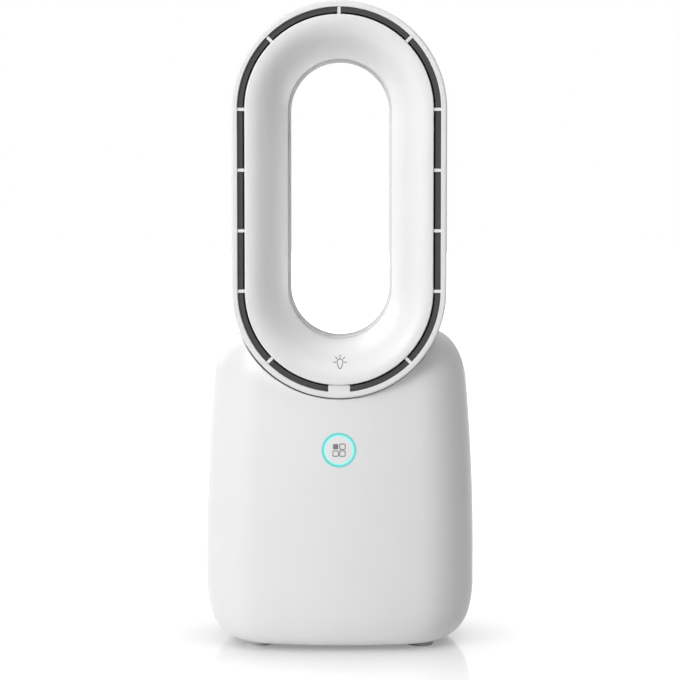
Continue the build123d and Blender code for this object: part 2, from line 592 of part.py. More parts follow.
def base_shell_walls():
    return WALLS - cover_tool(COVER_GAP) - neck_column(NECK_HOLE_GAP, NECK_Z, LOW_Z) - panel_tool(PANEL_GAP)


def cover_boss(x, sign):
    """A post for a bottom screw, with a web out to the wall."""
    y = sign * COVER_SCREW_Y
    web = Pos(x, y + sign * 10, (COVER_BOSS_Z + COVER_BOSS_TOP_Z) / 2)
    boss = disc(BOSS_R, COVER_BOSS_Z, COVER_BOSS_TOP_Z, x, y)
    return boss + web * Box(WEB, 20, COVER_BOSS_TOP_Z - COVER_BOSS_Z)


def cover_boss_hole(x, sign):
    return disc(SCREW_R, COVER_BOSS_Z, COVER_BOSS_TOP_Z - 2, x, sign * COVER_SCREW_Y)


def shell_screw_places():
    return [(x, z) for x in (-SHELL_SCREW_X, SHELL_SCREW_X) for z in SHELL_SCREW_Z]


def key_boss_places():
    return [(x * KEY_BOSS_X, KEY_Z + z * KEY_BOSS_Z) for x, z in CORNERS]


def base_front_shell():
    edge = PARTING_Y - PARTING_GAP / 2
    front = 2 * HALF_DEPTH
    extras = [cover_boss(x, -1) for x in (-COVER_SCREW_X, COVER_SCREW_X)]
    extras += [pin_y(BOSS_R, -front, edge, x, z) for x, z in shell_screw_places()]
    board_front = KEY_BOARD_Y - BOARD
    extras += [pin_y(KEY_BOSS_R, -front, board_front, x, z) for x, z in key_boss_places()]
    shell = (base_shell_walls() & front_half(-1)) + [extra & OUTER for extra in extras]
    holes = [cover_boss_hole(x, -1) for x in (-COVER_SCREW_X, COVER_SCREW_X)]
    holes += [pin_y(SCREW_R, edge - SHELL_SCREW_REACH, edge, x, z) for x, z in shell_screw_places()]
    holes += [pin_y(1.0, board_front - 4, board_front, x, z) for x, z in key_boss_places()]
    holes.append(pin_y(GUIDE_R + SEAM / 2, -front, GUIDE_BACK_Y, 0, KEY_Z))
    return shell - holes


def panel_seat():
    """The ledge that the intake panel's edge and its pins rest on."""
    seat = INNER - pillow(WALL + LEDGE_THICKNESS)
    ring = panel_tool(LEDGE_BORDER) - panel_tool(-LEDGE)
    return (seat & ring) - snap_pins(SNAP_PIN_R + SNAP_PIN_GAP)


def inlet_box(width, height, from_y, to_y, z=INLET_Z):
    return Pos(0, (from_y + to_y) / 2, z) * Box(width, to_y - from_y, height)


def base_rear_shell():
    edge = PARTING_Y + PARTING_GAP / 2
    back = 2 * HALF_DEPTH
    extras = [cover_boss(x, 1) for x in (-COVER_SCREW_X, COVER_SCREW_X)]
    extras += [pin_y(WELL_R, edge, back, x, z) for x, z in shell_screw_places()]
    shelf_z = INLET_Z - SOCKET_HEIGHT / 2 - BOARD - SHELF / 2
    pad_z = INLET_Z + 5
    pad_bottom = shelf_z - SHELF / 2
    extras.append(inlet_box(INLET_BOARD_WIDTH, SHELF, INLET_BOARD_FROM_Y, back, shelf_z))
    extras.append(inlet_box(INLET_BOARD_WIDTH, pad_z - pad_bottom, INLET_BOARD_TO_Y + SEAM, back,
                            (pad_z + pad_bottom) / 2))
    shell = (base_shell_walls() & front_half(1)) + [extra & OUTER for extra in extras] + panel_seat()
    holes = [cover_boss_hole(x, 1) for x in (-COVER_SCREW_X, COVER_SCREW_X)]
    for x, z in shell_screw_places():
        holes.append(pin_y(SCREW_HOLE_R, edge, edge + SHELL_SCREW_SEAT, x, z))
        holes.append(pin_y(WELL_BORE_R, edge + SHELL_SCREW_SEAT, back, x, z))
    holes.append(inlet_box(INLET_RECESS_WIDTH, INLET_RECESS_HEIGHT, INLET_RECESS_Y, back))
    grow = 2 * SOCKET_CLEARANCE
    holes.append(inlet_box(SOCKET_WIDTH + grow, SOCKET_HEIGHT + grow, INLET_BOARD_TO_Y, back))
    return shell - holes


def mount_places():
    return [(x * GROMMET_X, y * GROMMET_Y) for x, y in CORNERS]


def cover_screw_places():
    return [(x * COVER_SCREW_X, y * COVER_SCREW_Y) for x, y in CORNERS]


def board_post_places():
    return [(x * MAIN_POST_X, y * MAIN_POST_Y) for x, y in CORNERS]


def foot_places():
    return [(x * FOOT_X, y * FOOT_Y) for x, y in CORNERS]


def bottom_cover():
    middle_z = HOUSING_BOTTOM_Z + WALL / 2 + 0.2
    post_top = SHROUD_Z - GROMMET_HEIGHT
    cover = WALLS & cover_tool(0)
    extras = [disc(FOOT_R + PAD_WALL, middle_z, FOOT_POCKET_Z + PAD_WALL, x, y) for x, y in foot_places()]
    extras += [disc(BOSS_R + 1, middle_z, COVER_PAD_TOP_Z, x, y) for x, y in cover_screw_places()]
    extras += [disc(POST_R, middle_z + 0.4, post_top, x, y) for x, y in mount_places()]
    extras += [disc(MAIN_POST_R, middle_z, MAIN_BOARD_Z, x, y) for x, y in board_post_places()]
    holes = [disc(FOOT_R + FOOT_GAP, 0, FOOT_POCKET_Z, x, y) for x, y in foot_places()]
    holes += [disc(SCREW_HEAD_R + 0.2, 0, COVER_HEAD_Z, x, y) for x, y in cover_screw_places()]
    holes += [disc(SCREW_HOLE_R, 0, COVER_PAD_TOP_Z, x, y) for x, y in cover_screw_places()]
    holes += [disc(SCREW_R, post_top - 12, post_top, x, y) for x, y in mount_places()]
    holes += [disc(1.0, MAIN_BOARD_Z - 5, MAIN_BOARD_Z, x, y) for x, y in board_post_places()]
    return cover + extras - holes


def rubber_feet():
    narrow = FOOT_R - FOOT_TAPER
    top, waist = FOOT_POCKET_Z, HOUSING_BOTTOM_Z
    foot = turned((0, 0), (narrow, 0), (FOOT_R, waist), (FOOT_R, top), (0, top))
    return group(Pos(x, y) * foot for x, y in foot_places())


def screw(length, radius=SCREW_R, head_r=SCREW_HEAD_R):
    """A screw that points down from the underside of its head at the origin."""
    cross = Pos(0, 0, SCREW_HEAD_H) * (Box(head_r * 1.2, 0.6, 1.2) + Box(0.6, head_r * 1.2, 1.2))
    return disc(head_r, 0, SCREW_HEAD_H) + disc(radius, -length, 0) - cross


def cover_screws():
    length = COVER_BOSS_TOP_Z - 3 - (COVER_HEAD_Z)
    up = Rot(180, 0, 0) * screw(length)
    return group(Pos(x, y, COVER_HEAD_Z) * up for x, y in cover_screw_places())


def shell_screws():
    seat_y = PARTING_Y + PARTING_GAP / 2 + SHELL_SCREW_SEAT
    forward = Rot(-90, 0, 0) * screw(SHELL_SCREW_SEAT + SHELL_SCREW_REACH)
    return group(Pos(x, seat_y, z) * forward for x, z in shell_screw_places())


# ------------------------------------------------------------------ air intake at the back
def rear_grille():
    """The slotted intake panel, curved like the housing, with four pins that press into the ledge."""
    slots = []
    for i in range(GRILLE_COLUMNS):
        for j in range(GRILLE_ROWS):
            x = (i - (GRILLE_COLUMNS - 1) / 2) * GRILLE_PITCH_X
            y = (j - (GRILLE_ROWS - 1) / 2) * GRILLE_PITCH_Z
            slots.append(Pos(x, y) * SlotOverall(GRILLE_SLOT_HEIGHT, GRILLE_SLOT_WIDTH, rotation=90))
    face = RectangleRounded(PANEL_WIDTH, PANEL_HEIGHT, PANEL_CORNER) - slots
    panel = WALLS & along_y(face, PARTING_Y, 2 * HALF_DEPTH, INTAKE_Z)
    panel += [pin & OUTER for pin in snap_pins(SNAP_PIN_R)]
    notch_z = INTAKE_Z + PANEL_HEIGHT / 2 - FINGER_HEIGHT / 2
    notch_y = HALF_DEPTH - FINGER_DEPTH - 0.5
    return panel - inlet_box(FINGER_WIDTH, FINGER_HEIGHT, notch_y, notch_y + 5, notch_z)


def dust_filter():
    """A fine mesh in a frame that lies against the back of the panel."""
    width, height = PANEL_WIDTH - 2 * LEDGE - 2 * FILTER_GAP, PANEL_HEIGHT - 2 * LEDGE - 2 * FILTER_GAP
    step_x = (width - 2 * FILTER_FRAME + FILTER_BAR) / FILTER_COLUMNS
    step_y = (height - 2 * FILTER_FRAME + FILTER_BAR) / FILTER_ROWS
    cells = []
    for i in range(FILTER_COLUMNS):
        for j in range(FILTER_ROWS):
            place = Pos((i - (FILTER_COLUMNS - 1) / 2) * step_x, (j - (FILTER_ROWS - 1) / 2) * step_y)
            cells.append(place * Rectangle(step_x - FILTER_BAR, step_y - FILTER_BAR))
    face = RectangleRounded(width, height, PANEL_CORNER - LEDGE) - cells
    skin = INNER - pillow(WALL + FILTER_THICKNESS)
    return skin & along_y(face, PARTING_Y, 2 * HALF_DEPTH, INTAKE_Z)


# ------------------------------------------------------------------ impeller, duct and motor
def mount_grommets():
    bottom = SHROUD_Z - GROMMET_HEIGHT
    waist = GROMMET_R - 1
    grommet = turned(
        (SCREW_HOLE_R, bottom), (GROMMET_R, bottom), (GROMMET_R, bottom + 2), (waist, bottom + 2.5),
        (waist, SHROUD_Z - 2.5), (GROMMET_R, SHROUD_Z - 2), (GROMMET_R, SHROUD_Z), (SCREW_HOLE_R, SHROUD_Z),
    )
    return group(Pos(x, y) * grommet for x, y in mount_places())


def mount_screws():
    top = SHROUD_Z + SHROUD_WALL
    return group(Pos(x, y, top) * screw(MOUNT_SCREW_LENGTH) for x, y in mount_places())


def lug_ring(from_z, to_z, hole_r, hole_from, hole_to):
    """Four screw lugs outside the duct, and the holes to cut in them."""
    lug = disc(LUG_R, from_z, to_z, LUG_RADIUS)
    lug += Pos(LUG_RADIUS - 2.2, 0, (from_z + to_z) / 2) * Box(4.4, 2 * LUG_R, to_z - from_z)
    hole = disc(hole_r, hole_from, hole_to, LUG_RADIUS)
    return [Rot(0, 0, a) * lug for a in LUG_ANGLES], [Rot(0, 0, a) * hole for a in LUG_ANGLES]


def fan_shroud():
    """Mounting flange, bell mouth and the wall round the impeller."""
    bottom, wall = SHROUD_Z, SHROUD_WALL
    bell_r, bell_z = INLET_R + BELL_R, SHROUD_Z + BELL_R
    inside_r = DUCT_R - wall
    face = make_face(
        [
            CenterArc((bell_r, bell_z), BELL_R, 180, 90),
            Polyline((bell_r, bottom), (FLANGE_R, bottom), (FLANGE_R, bottom + wall),
                     (bell_r, bottom + wall)),
            CenterArc((bell_r, bell_z), BELL_R - wall, 270, -90),
            Polyline((INLET_R + wall, bell_z), (INLET_R + wall, bell_z + 3.5), (DUCT_R, bell_z + 17.5),
                     (DUCT_R, SHROUD_TOP_Z), (inside_r, SHROUD_TOP_Z), (inside_r, bell_z + 17),
                     (INLET_R, bell_z + 3), (INLET_R, bell_z)),
        ]
    )
    lugs, holes = lug_ring(SHROUD_TOP_Z - LOWER_LUG, SHROUD_TOP_Z, SCREW_R, SHROUD_TOP_Z - 5, SHROUD_TOP_Z)
    ears = []
    for x, y in mount_places():
        ears.append(disc(EAR_R, bottom, bottom + wall, x, y))
        side = 1 if x > 0 else -1
        ears.append(Pos(x - side * 6, y, bottom + wall / 2) * Box(12, 10, wall))
        holes.append(disc(SCREW_HOLE_R, bottom, bottom + wall, x, y))
    return revolve(Plane.XZ * face, Axis.Z) + ears + lugs - holes


def hub_face(inset):
    """Half section of the impeller's hub, with the room under its skin left solid."""
    nose, top = HUB_NOSE_Z + inset, IMPELLER_TOP_Z
    middle = ((HUB_NOSE_R + HUB_TOP_R) / 2 - 2 - inset * 0.75, (nose + top) / 2 + 0.5)
    edge = (HUB_TOP_R - inset, top - 2)
    start = (HUB_NOSE_R - inset / 2, nose)
    return make_face(
        [
            Line((0, nose), start),
            ThreePointArc(start, middle, edge),
            Polyline(edge, (HUB_TOP_R - inset, top), (0, top), (0, nose)),
        ]
    )


def impeller():
    tip = DUCT_R - SHROUD_WALL - TIP_GAP
    low = HUB_NOSE_Z + 2.5
    reach = turned((0, low), (INLET_R - TIP_GAP, low), (INLET_R - TIP_GAP, SHROUD_Z + BELL_R + 3),
                   (tip, SHROUD_Z + BELL_R + 17), (tip, IMPELLER_TOP_Z - 1.5), (0, IMPELLER_TOP_Z - 1.5))
    core = revolve(Plane.XZ * hub_face(HUB_SHELL / 2), Axis.Z)
    sections = []
    for i in range(5):
        plate = Pos(DUCT_R / 2 + 2, 0) * Rectangle(DUCT_R, BLADE_THICKNESS * 1.5)
        sections.append(Pos(0, 0, HUB_NOSE_Z + i * 6.5) * Rot(0, 0, i * BLADE_SWEEP / 4) * plate)
    blade = (loft(sections) & reach) - core
    hub = revolve(Plane.XZ * hub_face(0), Axis.Z) - revolve(Plane.XZ * hub_face(HUB_SHELL), Axis.Z)
    hub += disc(HUB_CORE_R, HUB_NOSE_Z + 0.5, IMPELLER_TOP_Z - 1)
    wheel = hub + [Rot(0, 0, 360 * i / BLADES) * blade for i in range(BLADES)]
    return wheel - disc(SHAFT_R, HUB_NOSE_Z + 2, IMPELLER_TOP_Z)


def motor_duct():
    """The duct above the impeller: outer wall, guide vanes and the bucket that holds the motor."""
    wall = tube(DUCT_R, DUCT_R - SHROUD_WALL, SHROUD_TOP_Z, DUCT_TOP_Z)
    bucket = disc(BUCKET_R, BUCKET_FLOOR_Z, BUCKET_TOP_Z)
    bucket -= disc(BUCKET_R - BUCKET_WALL, BUCKET_INSIDE_Z, BUCKET_TOP_Z)
    from_r, to_r = BUCKET_R - 0.5, DUCT_R - SHROUD_WALL + 0.6
    middle = Pos((from_r + to_r) / 2, 0, (VANE_BOTTOM_Z + VANE_TOP_Z) / 2)
    vane = middle * Rot(VANE_TILT, 0, 0) * Box(to_r - from_r, VANE_THICKNESS, VANE_TOP_Z - VANE_BOTTOM_Z)
    vanes = [Rot(0, 0, 360 * i / GUIDE_VANES) * vane for i in range(GUIDE_VANES)]
    lug_top = SHROUD_TOP_Z + LUG
    low, low_holes = lug_ring(SHROUD_TOP_Z, lug_top, SCREW_HOLE_R, SHROUD_TOP_Z, lug_top)
    high, high_holes = lug_ring(DUCT_TOP_Z - LOWER_LUG, DUCT_TOP_Z, SCREW_R, DUCT_TOP_Z - 5, DUCT_TOP_Z)
    holes = low_holes + high_holes
    holes.append(disc(SHAFT_HOLE_R, BUCKET_FLOOR_Z, BUCKET_INSIDE_Z))
    wire = Pos(-(BUCKET_R + DUCT_R) / 2, 0, MOTOR_WIRE_Z) * Rot(0, 90, 0)
    holes.append(wire * Cylinder(WIRE_HOLE_R, DUCT_R - BUCKET_R + 10))
    return wall + bucket + vanes + low + high - holes


def duct_screws():
    lower = SHROUD_TOP_Z + LUG
    upper = DUCT_TOP_Z + LUG
    return group(
        Rot(0, 0, a) * Pos(LUG_RADIUS, 0, z) * screw(LUG + 4.5) for a in LUG_ANGLES for z in (lower, upper)
    )


def bearing_tube():
    bottom, top = BUCKET_INSIDE_Z, BUCKET_INSIDE_Z + TUBE_HEIGHT
    flange = bottom + TUBE_FLANGE
    seat = BEARING_R - 0.8
    return turned(
        (BEARING_R, bottom), (TUBE_FLANGE_R, bottom), (TUBE_FLANGE_R, flange), (TUBE_R, flange),
        (TUBE_R, top), (BEARING_R, top), (BEARING_R, top - BEARING_HEIGHT), (seat, top - BEARING_HEIGHT),
        (seat, bottom + BEARING_HEIGHT), (BEARING_R, bottom + BEARING_HEIGHT),
    )


def motor_bearings():
    bottom = BUCKET_INSIDE_Z
    top = BUCKET_INSIDE_Z + TUBE_HEIGHT - BEARING_HEIGHT
    return group(tube(BEARING_R, SHAFT_R + SHAFT_GAP, z, z + BEARING_HEIGHT) for z in (bottom, top))


def motor_shaft():
    return disc(SHAFT_R, HUB_NOSE_Z + 2, CAN_TOP_Z + 2.5)


def motor_board():
    flange = BUCKET_INSIDE_Z + TUBE_FLANGE
    return tube(MOTOR_BOARD_R, TUBE_R + 0.1, flange, flange + MOTOR_BOARD)


def tooth(width, from_r, to_r, extra=0.0):
    place = Pos((from_r + to_r) / 2, 0, STATOR_Z + STATOR_HEIGHT / 2)
    return place * Box(to_r - from_r, width, STATOR_HEIGHT + 2 * extra)


def around_stator(piece):
    return [Rot(0, 0, 360 * i / TEETH) * piece for i in range(TEETH)]


def motor_stator():
    """Nine laminated teeth on a ring round the bearing tube."""
    limb = tooth(TOOTH_WIDTH, STATOR_CORE_R - 1, STATOR_R)
    limb += tooth(TOOTH_FOOT_WIDTH, STATOR_R - TOOTH_FOOT, STATOR_R)
    core = tube(STATOR_CORE_R, TUBE_R, STATOR_Z, STATOR_Z + STATOR_HEIGHT)
    return (core + around_stator(limb)) & disc(STATOR_R, STATOR_Z, STATOR_Z + STATOR_HEIGHT)


def motor_coils():
    outer_r = STATOR_R - TOOTH_FOOT - 0.1
    coil = tooth(TOOTH_WIDTH + 2 * COIL_THICKNESS, STATOR_CORE_R + 0.3, outer_r, COIL_THICKNESS)
    coil -= tooth(TOOTH_WIDTH, STATOR_CORE_R, STATOR_R)
    return group(around_stator(coil))


def rotor_can():
    bottom, plate = CAN_TOP_Z - CAN_HEIGHT, CAN_TOP_Z - CAN_WALL
    can = disc(CAN_R, bottom, CAN_TOP_Z) - disc(CAN_R - CAN_WALL, bottom, plate)
    can += disc(4, plate, CAN_TOP_Z + 2.5)
    vents = [Rot(0, 0, 60 * i) * disc(2.4, plate, CAN_TOP_Z, 11.5) for i in range(6)]
    return can - vents - disc(SHAFT_R, plate, CAN_TOP_Z + 2.5)


def rotor_magnet():
    return tube(MAGNET_R + MAGNET, MAGNET_R, STATOR_Z - 0.5, STATOR_Z + STATOR_HEIGHT + 0.5)


def motor_cap():
    """The domed lid that closes the bucket."""
    bottom, top = BUCKET_TOP_Z, BUCKET_TOP_Z + CAP_HEIGHT
    spigot = BUCKET_R - BUCKET_WALL - SEAM
    rise = CAP_HEIGHT - CAP_EDGE
    dome = (BUCKET_R**2 + rise**2) / (2 * rise)
    outside = Pos(0, 0, top - dome) * Sphere(dome)
    inside = Pos(0, 0, top - dome) * Sphere(dome - BUCKET_WALL)
    lid = disc(BUCKET_R, bottom, top) & outside
    room = disc(spigot - BUCKET_WALL, bottom, top) & inside
    return lid - room + tube(spigot, spigot - BUCKET_WALL, bottom - 4, bottom)


# ------------------------------------------------------------------ duct to the ring
def oval(a, b, from_z, to_z):
    return Pos(0, NECK_Y) * along_z(Ellipse(a, b), from_z, to_z)


def duct_flare(wall):
    """The adapter's body: round at the bottom, oval at the top."""
    low, high = DUCT_TOP_Z + 2, DUCT_FLANGE_Z - 2
    oval_end = Pos(0, NECK_Y, high) * Ellipse(NECK_A - wall, NECK_B - wall)
    flare = loft([Pos(0, 0, low) * Circle(DUCT_R - wall), oval_end])
    return disc(DUCT_R - wall, DUCT_TOP_Z, low) + flare + oval(NECK_A - wall, NECK_B - wall, high, SEAL_Z)


def outlet_adapter():
    body = duct_flare(0)
    body += oval(FLANGE_A, FLANGE_B, DUCT_FLANGE_Z, SEAL_Z)
    lugs, holes = lug_ring(DUCT_TOP_Z, DUCT_TOP_Z + LUG, SCREW_HOLE_R, DUCT_TOP_Z, DUCT_TOP_Z + LUG)
    for x in (-NECK_SCREW_X, NECK_SCREW_X):
        holes.append(disc(SCREW_HOLE_R, DUCT_FLANGE_Z, SEAL_Z, x, NECK_Y))
    return body + lugs - duct_flare(SHROUD_WALL) - holes


def neck_seal():
    seal = oval(FLANGE_A - 0.5, FLANGE_B - 0.5, SEAL_Z, NECK_Z)
    seal -= oval(NECK_A - NECK_WALL, NECK_B - NECK_WALL, SEAL_Z, NECK_Z)
    return seal - [disc(SCREW_HOLE_R, SEAL_Z, NECK_Z, x, NECK_Y) for x in (-NECK_SCREW_X, NECK_SCREW_X)]


def neck_screws():
    up = Rot(180, 0, 0) * screw(NECK_Z + NECK_BOSS_HEIGHT - 1.8 - DUCT_FLANGE_Z)
    return group(Pos(x, NECK_Y, DUCT_FLANGE_Z) * up for x in (-NECK_SCREW_X, NECK_SCREW_X))


def neck_gasket():
    """The soft ring that fills the gap between the neck and the saddle."""
    sleeve = neck_column(NECK_HOLE_GAP, NECK_Z, LOW_Z - 40) - neck_column(0, NECK_Z, LOW_Z - 40)
    return sleeve & saddle(SADDLE_R + WALL + 1) - saddle(SADDLE_R + 0.1)


def saddle_seal():
    """A strip of dark foam between the ring's foot and the saddle, just behind the housing's face."""
    gap = Pos(SADDLE_X, SADDLE_Z) * Circle(SADDLE_R - 0.05) - Pos(0, LOW_Z) * Circle(RING_OUTER_R)
    skin = pillow(SEAL_STRIP_SETBACK) - pillow(SEAL_STRIP_SETBACK + SEAL_STRIP_DEPTH)
    return along_y(gap, -2 * HALF_DEPTH, SEAL_STRIP_BACK_Y) & skin


# ------------------------------------------------------------------ mode key
def mode_key():
    front = 2 * HALF_DEPTH
    crown = pin_y(KEY_R, -front, KEY_BACK_Y, 0, KEY_Z) & OUTER
    flange = pin_y(KEY_FLANGE_R, KEY_BACK_Y, KEY_FLANGE_Y, 0, KEY_Z)
    hollow = pin_y(KEY_SKIRT_R, KEY_FACE_Y + KEY_CROWN, KEY_FLANGE_Y, 0, KEY_Z)
    stem = pin_y(STEM_R, KEY_FACE_Y + KEY_CROWN - 0.5, STEM_END_Y, 0, KEY_Z)
    return crown + flange - hollow + stem


def key_plunger():
    return pin_y(PLUNGER_R, STEM_END_Y, PLUNGER_END_Y, 0, KEY_Z)


def key_light_guide():
    front = 2 * HALF_DEPTH
    rim = pin_y(GUIDE_R, -front, GUIDE_BACK_Y, 0, KEY_Z) & OUTER
    flange = pin_y(GUIDE_FLANGE_R, GUIDE_BACK_Y - GUIDE_FLANGE, GUIDE_BACK_Y, 0, KEY_Z)
    return rim + flange - pin_y(KEY_BORE_R, -front, GUIDE_BACK_Y, 0, KEY_Z)


def key_board():
    front = KEY_BOARD_Y - BOARD
    board = along_y(RectangleRounded(KEY_BOARD_WIDTH, KEY_BOARD_HEIGHT, 2), front, KEY_BOARD_Y, KEY_Z)
    return board - [pin_y(1.2, front, KEY_BOARD_Y, x, z) for x, z in key_boss_places()]


def key_switch():
    front = KEY_BOARD_Y - BOARD - SWITCH_DEPTH
    body = along_y(RectangleRounded(SWITCH_SIZE, SWITCH_SIZE, 0.6), front, KEY_BOARD_Y - BOARD, KEY_Z)
    return body - pin_y(PLUNGER_R + PLUNGER_GAP, front, PLUNGER_END_Y + KEY_TRAVEL + 0.3, 0, KEY_Z)


def key_leds():
    radius = (KEY_BORE_R + GUIDE_R) / 2
    front = KEY_BOARD_Y - BOARD
    chip = along_y(Pos(radius, 0) * Rectangle(KEY_LED_SIZE, KEY_LED_SIZE), front - KEY_LED_DEPTH, front)
    return group(Pos(0, 0, KEY_Z) * Rot(0, 360 * i / KEY_LEDS, 0) * chip for i in range(KEY_LEDS))


def key_board_screws():
    forward = Rot(-90, 0, 0) * screw(BOARD + 3.5, 1.0, 1.9)
    return group(Pos(x, KEY_BOARD_Y, z) * forward for x, z in key_boss_places())


# ------------------------------------------------------------------ main board, power inlet and wiring
def main_board():
    board = along_z(RectangleRounded(MAIN_BOARD_WIDTH, MAIN_BOARD_DEPTH, 3), MAIN_BOARD_Z, MAIN_BOARD_TOP_Z)
    return board - [disc(1.2, MAIN_BOARD_Z, MAIN_BOARD_TOP_Z, x, y) for x, y in board_post_places()]


def main_board_screws():
    pin = screw(BOARD + 4, 1.0, 1.9)
    return group(Pos(x, y, MAIN_BOARD_TOP_Z) * pin for x, y in board_post_places())


def board_block(width, depth, height, x, y):
    return Pos(x, y, MAIN_BOARD_TOP_Z + height / 2) * Box(width, depth, height)


def board_connectors():
    """The plugs on the main board's edges for the four leads."""
    side = MAIN_BOARD_WIDTH / 2 - CONNECTOR / 2 - 1
    front = MAIN_BOARD_DEPTH / 2 - CONNECTOR / 2 - 1
    blocks = [board_block(CONNECTOR, 9, CONNECTOR_HEIGHT, sign * side, 0) for sign in (-1, 1)]
    blocks.append(board_block(9, CONNECTOR, CONNECTOR_HEIGHT, KEY_WIRE_X, -front))
    blocks.append(board_block(9, CONNECTOR, CONNECTOR_HEIGHT, -6, front))
    return group(blocks)


def board_parts():
    """Capacitors, coil and chips on the main board."""
    top = MAIN_BOARD_TOP_Z
    pieces = [disc(4, top, top + 11, -20, y) for y in (9, -1)]
    pieces.append(disc(3, top, top + 8, 20, -12))
    pieces.append(tube(5.5, 2.5, top, top + 5, 18, 9))
    pieces.append(board_block(9, 9, 1.2, 2, 0))
    pieces.append(board_block(6, 5, 1.5, -12, -12))
    return group(pieces)


def inlet_board():
    top = INLET_Z - SOCKET_HEIGHT / 2
    return inlet_box(INLET_BOARD_WIDTH - 1, BOARD, INLET_BOARD_FROM_Y, INLET_BOARD_TO_Y, top - BOARD / 2)


def inlet_socket():
    """The metal shell of the power socket, open to the back."""
    outline = RectangleRounded(SOCKET_WIDTH, SOCKET_HEIGHT, SOCKET_HEIGHT / 2 - 0.01)
    opening = offset(outline, -SOCKET_SHELL)
    to_y = INLET_RECESS_Y - 0.1
    from_y = to_y - SOCKET_LENGTH
    return along_y(outline, from_y, to_y, INLET_Z) - along_y(opening, from_y + 1, to_y, INLET_Z)


def inlet_tongue():
    from_y = INLET_RECESS_Y - 0.1 - SOCKET_LENGTH + 1
    return inlet_box(TONGUE_WIDTH, TONGUE_THICKNESS, from_y, from_y + TONGUE_LENGTH)


def wire(*points):
    """A round lead through a row of points, with rounded corners."""
    lead = None
    for start, end in zip(points, points[1:]):
        run = Plane(start, z_dir=Vector(*end) - Vector(*start)) * Circle(WIRE_R)
        piece = extrude(run, (Vector(*end) - Vector(*start)).length)
        lead = piece if lead is None else lead + piece
    return lead + [Pos(*point) * Sphere(WIRE_R) for point in points[1:-1]]


def motor_lead():
    edge = MAIN_BOARD_WIDTH / 2 - 1
    return wire((-13, 0, MOTOR_WIRE_Z), (-WIRE_X, 0, MOTOR_WIRE_Z), (-WIRE_X, 0, WIRE_Z), (-edge, 0, WIRE_Z))


def ring_lead():
    edge = MAIN_BOARD_WIDTH / 2 - 1
    x, y, z = RING_WIRE_X, NECK_WIRE_Y, NECK_WIRE_Z
    end_z = LOW_Z - sqrt((DIFFUSER_R + REFLECTOR_R - REFLECTOR_WALL) ** 2 - (x - WIRE_R) ** 2) - 0.1
    return wire((edge, 0, WIRE_Z), (WIRE_X, 0, WIRE_Z), (WIRE_X, 0, z), (WIRE_X, y, z), (x, y, z),
                (x, y, RING_WIRE_Z), (x, RING_WIRE_Y, RING_WIRE_Z), (x, RING_WIRE_Y, end_z))


def key_lead():
    edge = MAIN_BOARD_DEPTH / 2 - 1
    top = KEY_Z - KEY_BOARD_HEIGHT / 2
    return wire((KEY_WIRE_X, KEY_BOARD_Y - BOARD - 0.2, top), (KEY_WIRE_X, KEY_WIRE_Y, top - 5),
                (KEY_WIRE_X, KEY_WIRE_Y, WIRE_Z), (KEY_WIRE_X, -edge, WIRE_Z))


def inlet_lead():
    z = INLET_Z - SOCKET_HEIGHT / 2 + WIRE_R
    return wire((-6, INLET_BOARD_FROM_Y + 5, z), (-6, INLET_BOARD_FROM_Y - 2, z),
                (-6, MAIN_BOARD_DEPTH / 2 + 2, WIRE_Z), (-6, MAIN_BOARD_DEPTH / 2 - 1, WIRE_Z))


def with_wire_holes(shell, reflector):
    """Cuts the ring lead's way through the neck's wall and the reflector."""
    across = Pos(NECK_A, NECK_WIRE_Y, NECK_WIRE_Z) * Rot(0, 90, 0) * Cylinder(WIRE_HOLE_R, 12)
    up = Pos(RING_WIRE_X, RING_WIRE_Y, LOW_Z - DIFFUSER_R - 3) * Cylinder(WIRE_HOLE_R, 9)
    return shell - across, reflector - up


# ------------------------------------------------------------------ every piece, one file each
RING_SHELL, REFLECTOR = with_wire_holes(ring_outer_shell(), light_reflector())
PIECES = {
    "ring_outer_shell": RING_SHELL,
    "ring_back_shell": ring_back_shell(),
    "ring_funnel": ring_funnel(),
    "slot_frame": slot_frame(),
    "slot_liner": slot_liner(),
    "light_diffuser": light_diffuser(),
    "light_reflector": REFLECTOR,
    "led_strip": led_strip(),
    "led_chips": led_chips(),
    "light_touch_film": light_touch_film(),
    "base_front_shell": base_front_shell(),
    "base_rear_shell": base_rear_shell(),
    "bottom_cover": bottom_cover(),
    "rubber_feet": rubber_feet(),
    "cover_screws": cover_screws(),
    "shell_screws": shell_screws(),
    "rear_grille": rear_grille(),
    "dust_filter": dust_filter(),
    "mount_grommets": mount_grommets(),
    "mount_screws": mount_screws(),
    "fan_shroud": fan_shroud(),
    "impeller": impeller(),
    "motor_duct": motor_duct(),
    "duct_screws": duct_screws(),
    "bearing_tube": bearing_tube(),
    "motor_bearings": motor_bearings(),
    "motor_shaft": motor_shaft(),
    "motor_board": motor_board(),
    "motor_stator": motor_stator(),
    "motor_coils": motor_coils(),
    "rotor_can": rotor_can(),
    "rotor_magnet": rotor_magnet(),
    "motor_cap": motor_cap(),
    "outlet_adapter": outlet_adapter(),
    "neck_seal": neck_seal(),
    "neck_screws": neck_screws(),
    "neck_gasket": neck_gasket(),
    "saddle_seal": saddle_seal(),
    "mode_key": mode_key(),
    "key_plunger": key_plunger(),
    "key_light_guide": key_light_guide(),
    "key_board": key_board(),
    "key_switch": key_switch(),
    "key_leds": key_leds(),
    "key_board_screws": key_board_screws(),
    "main_board": main_board(),
    "main_board_screws": main_board_screws(),
    "board_connectors": board_connectors(),
    "board_parts": board_parts(),
    "inlet_board": inlet_board(),
    "inlet_socket": inlet_socket(),
    "inlet_tongue": inlet_tongue(),
    "motor_lead": motor_lead(),
    "ring_lead": ring_lead(),
    "key_lead": key_lead(),
    "inlet_lead": inlet_lead(),
}

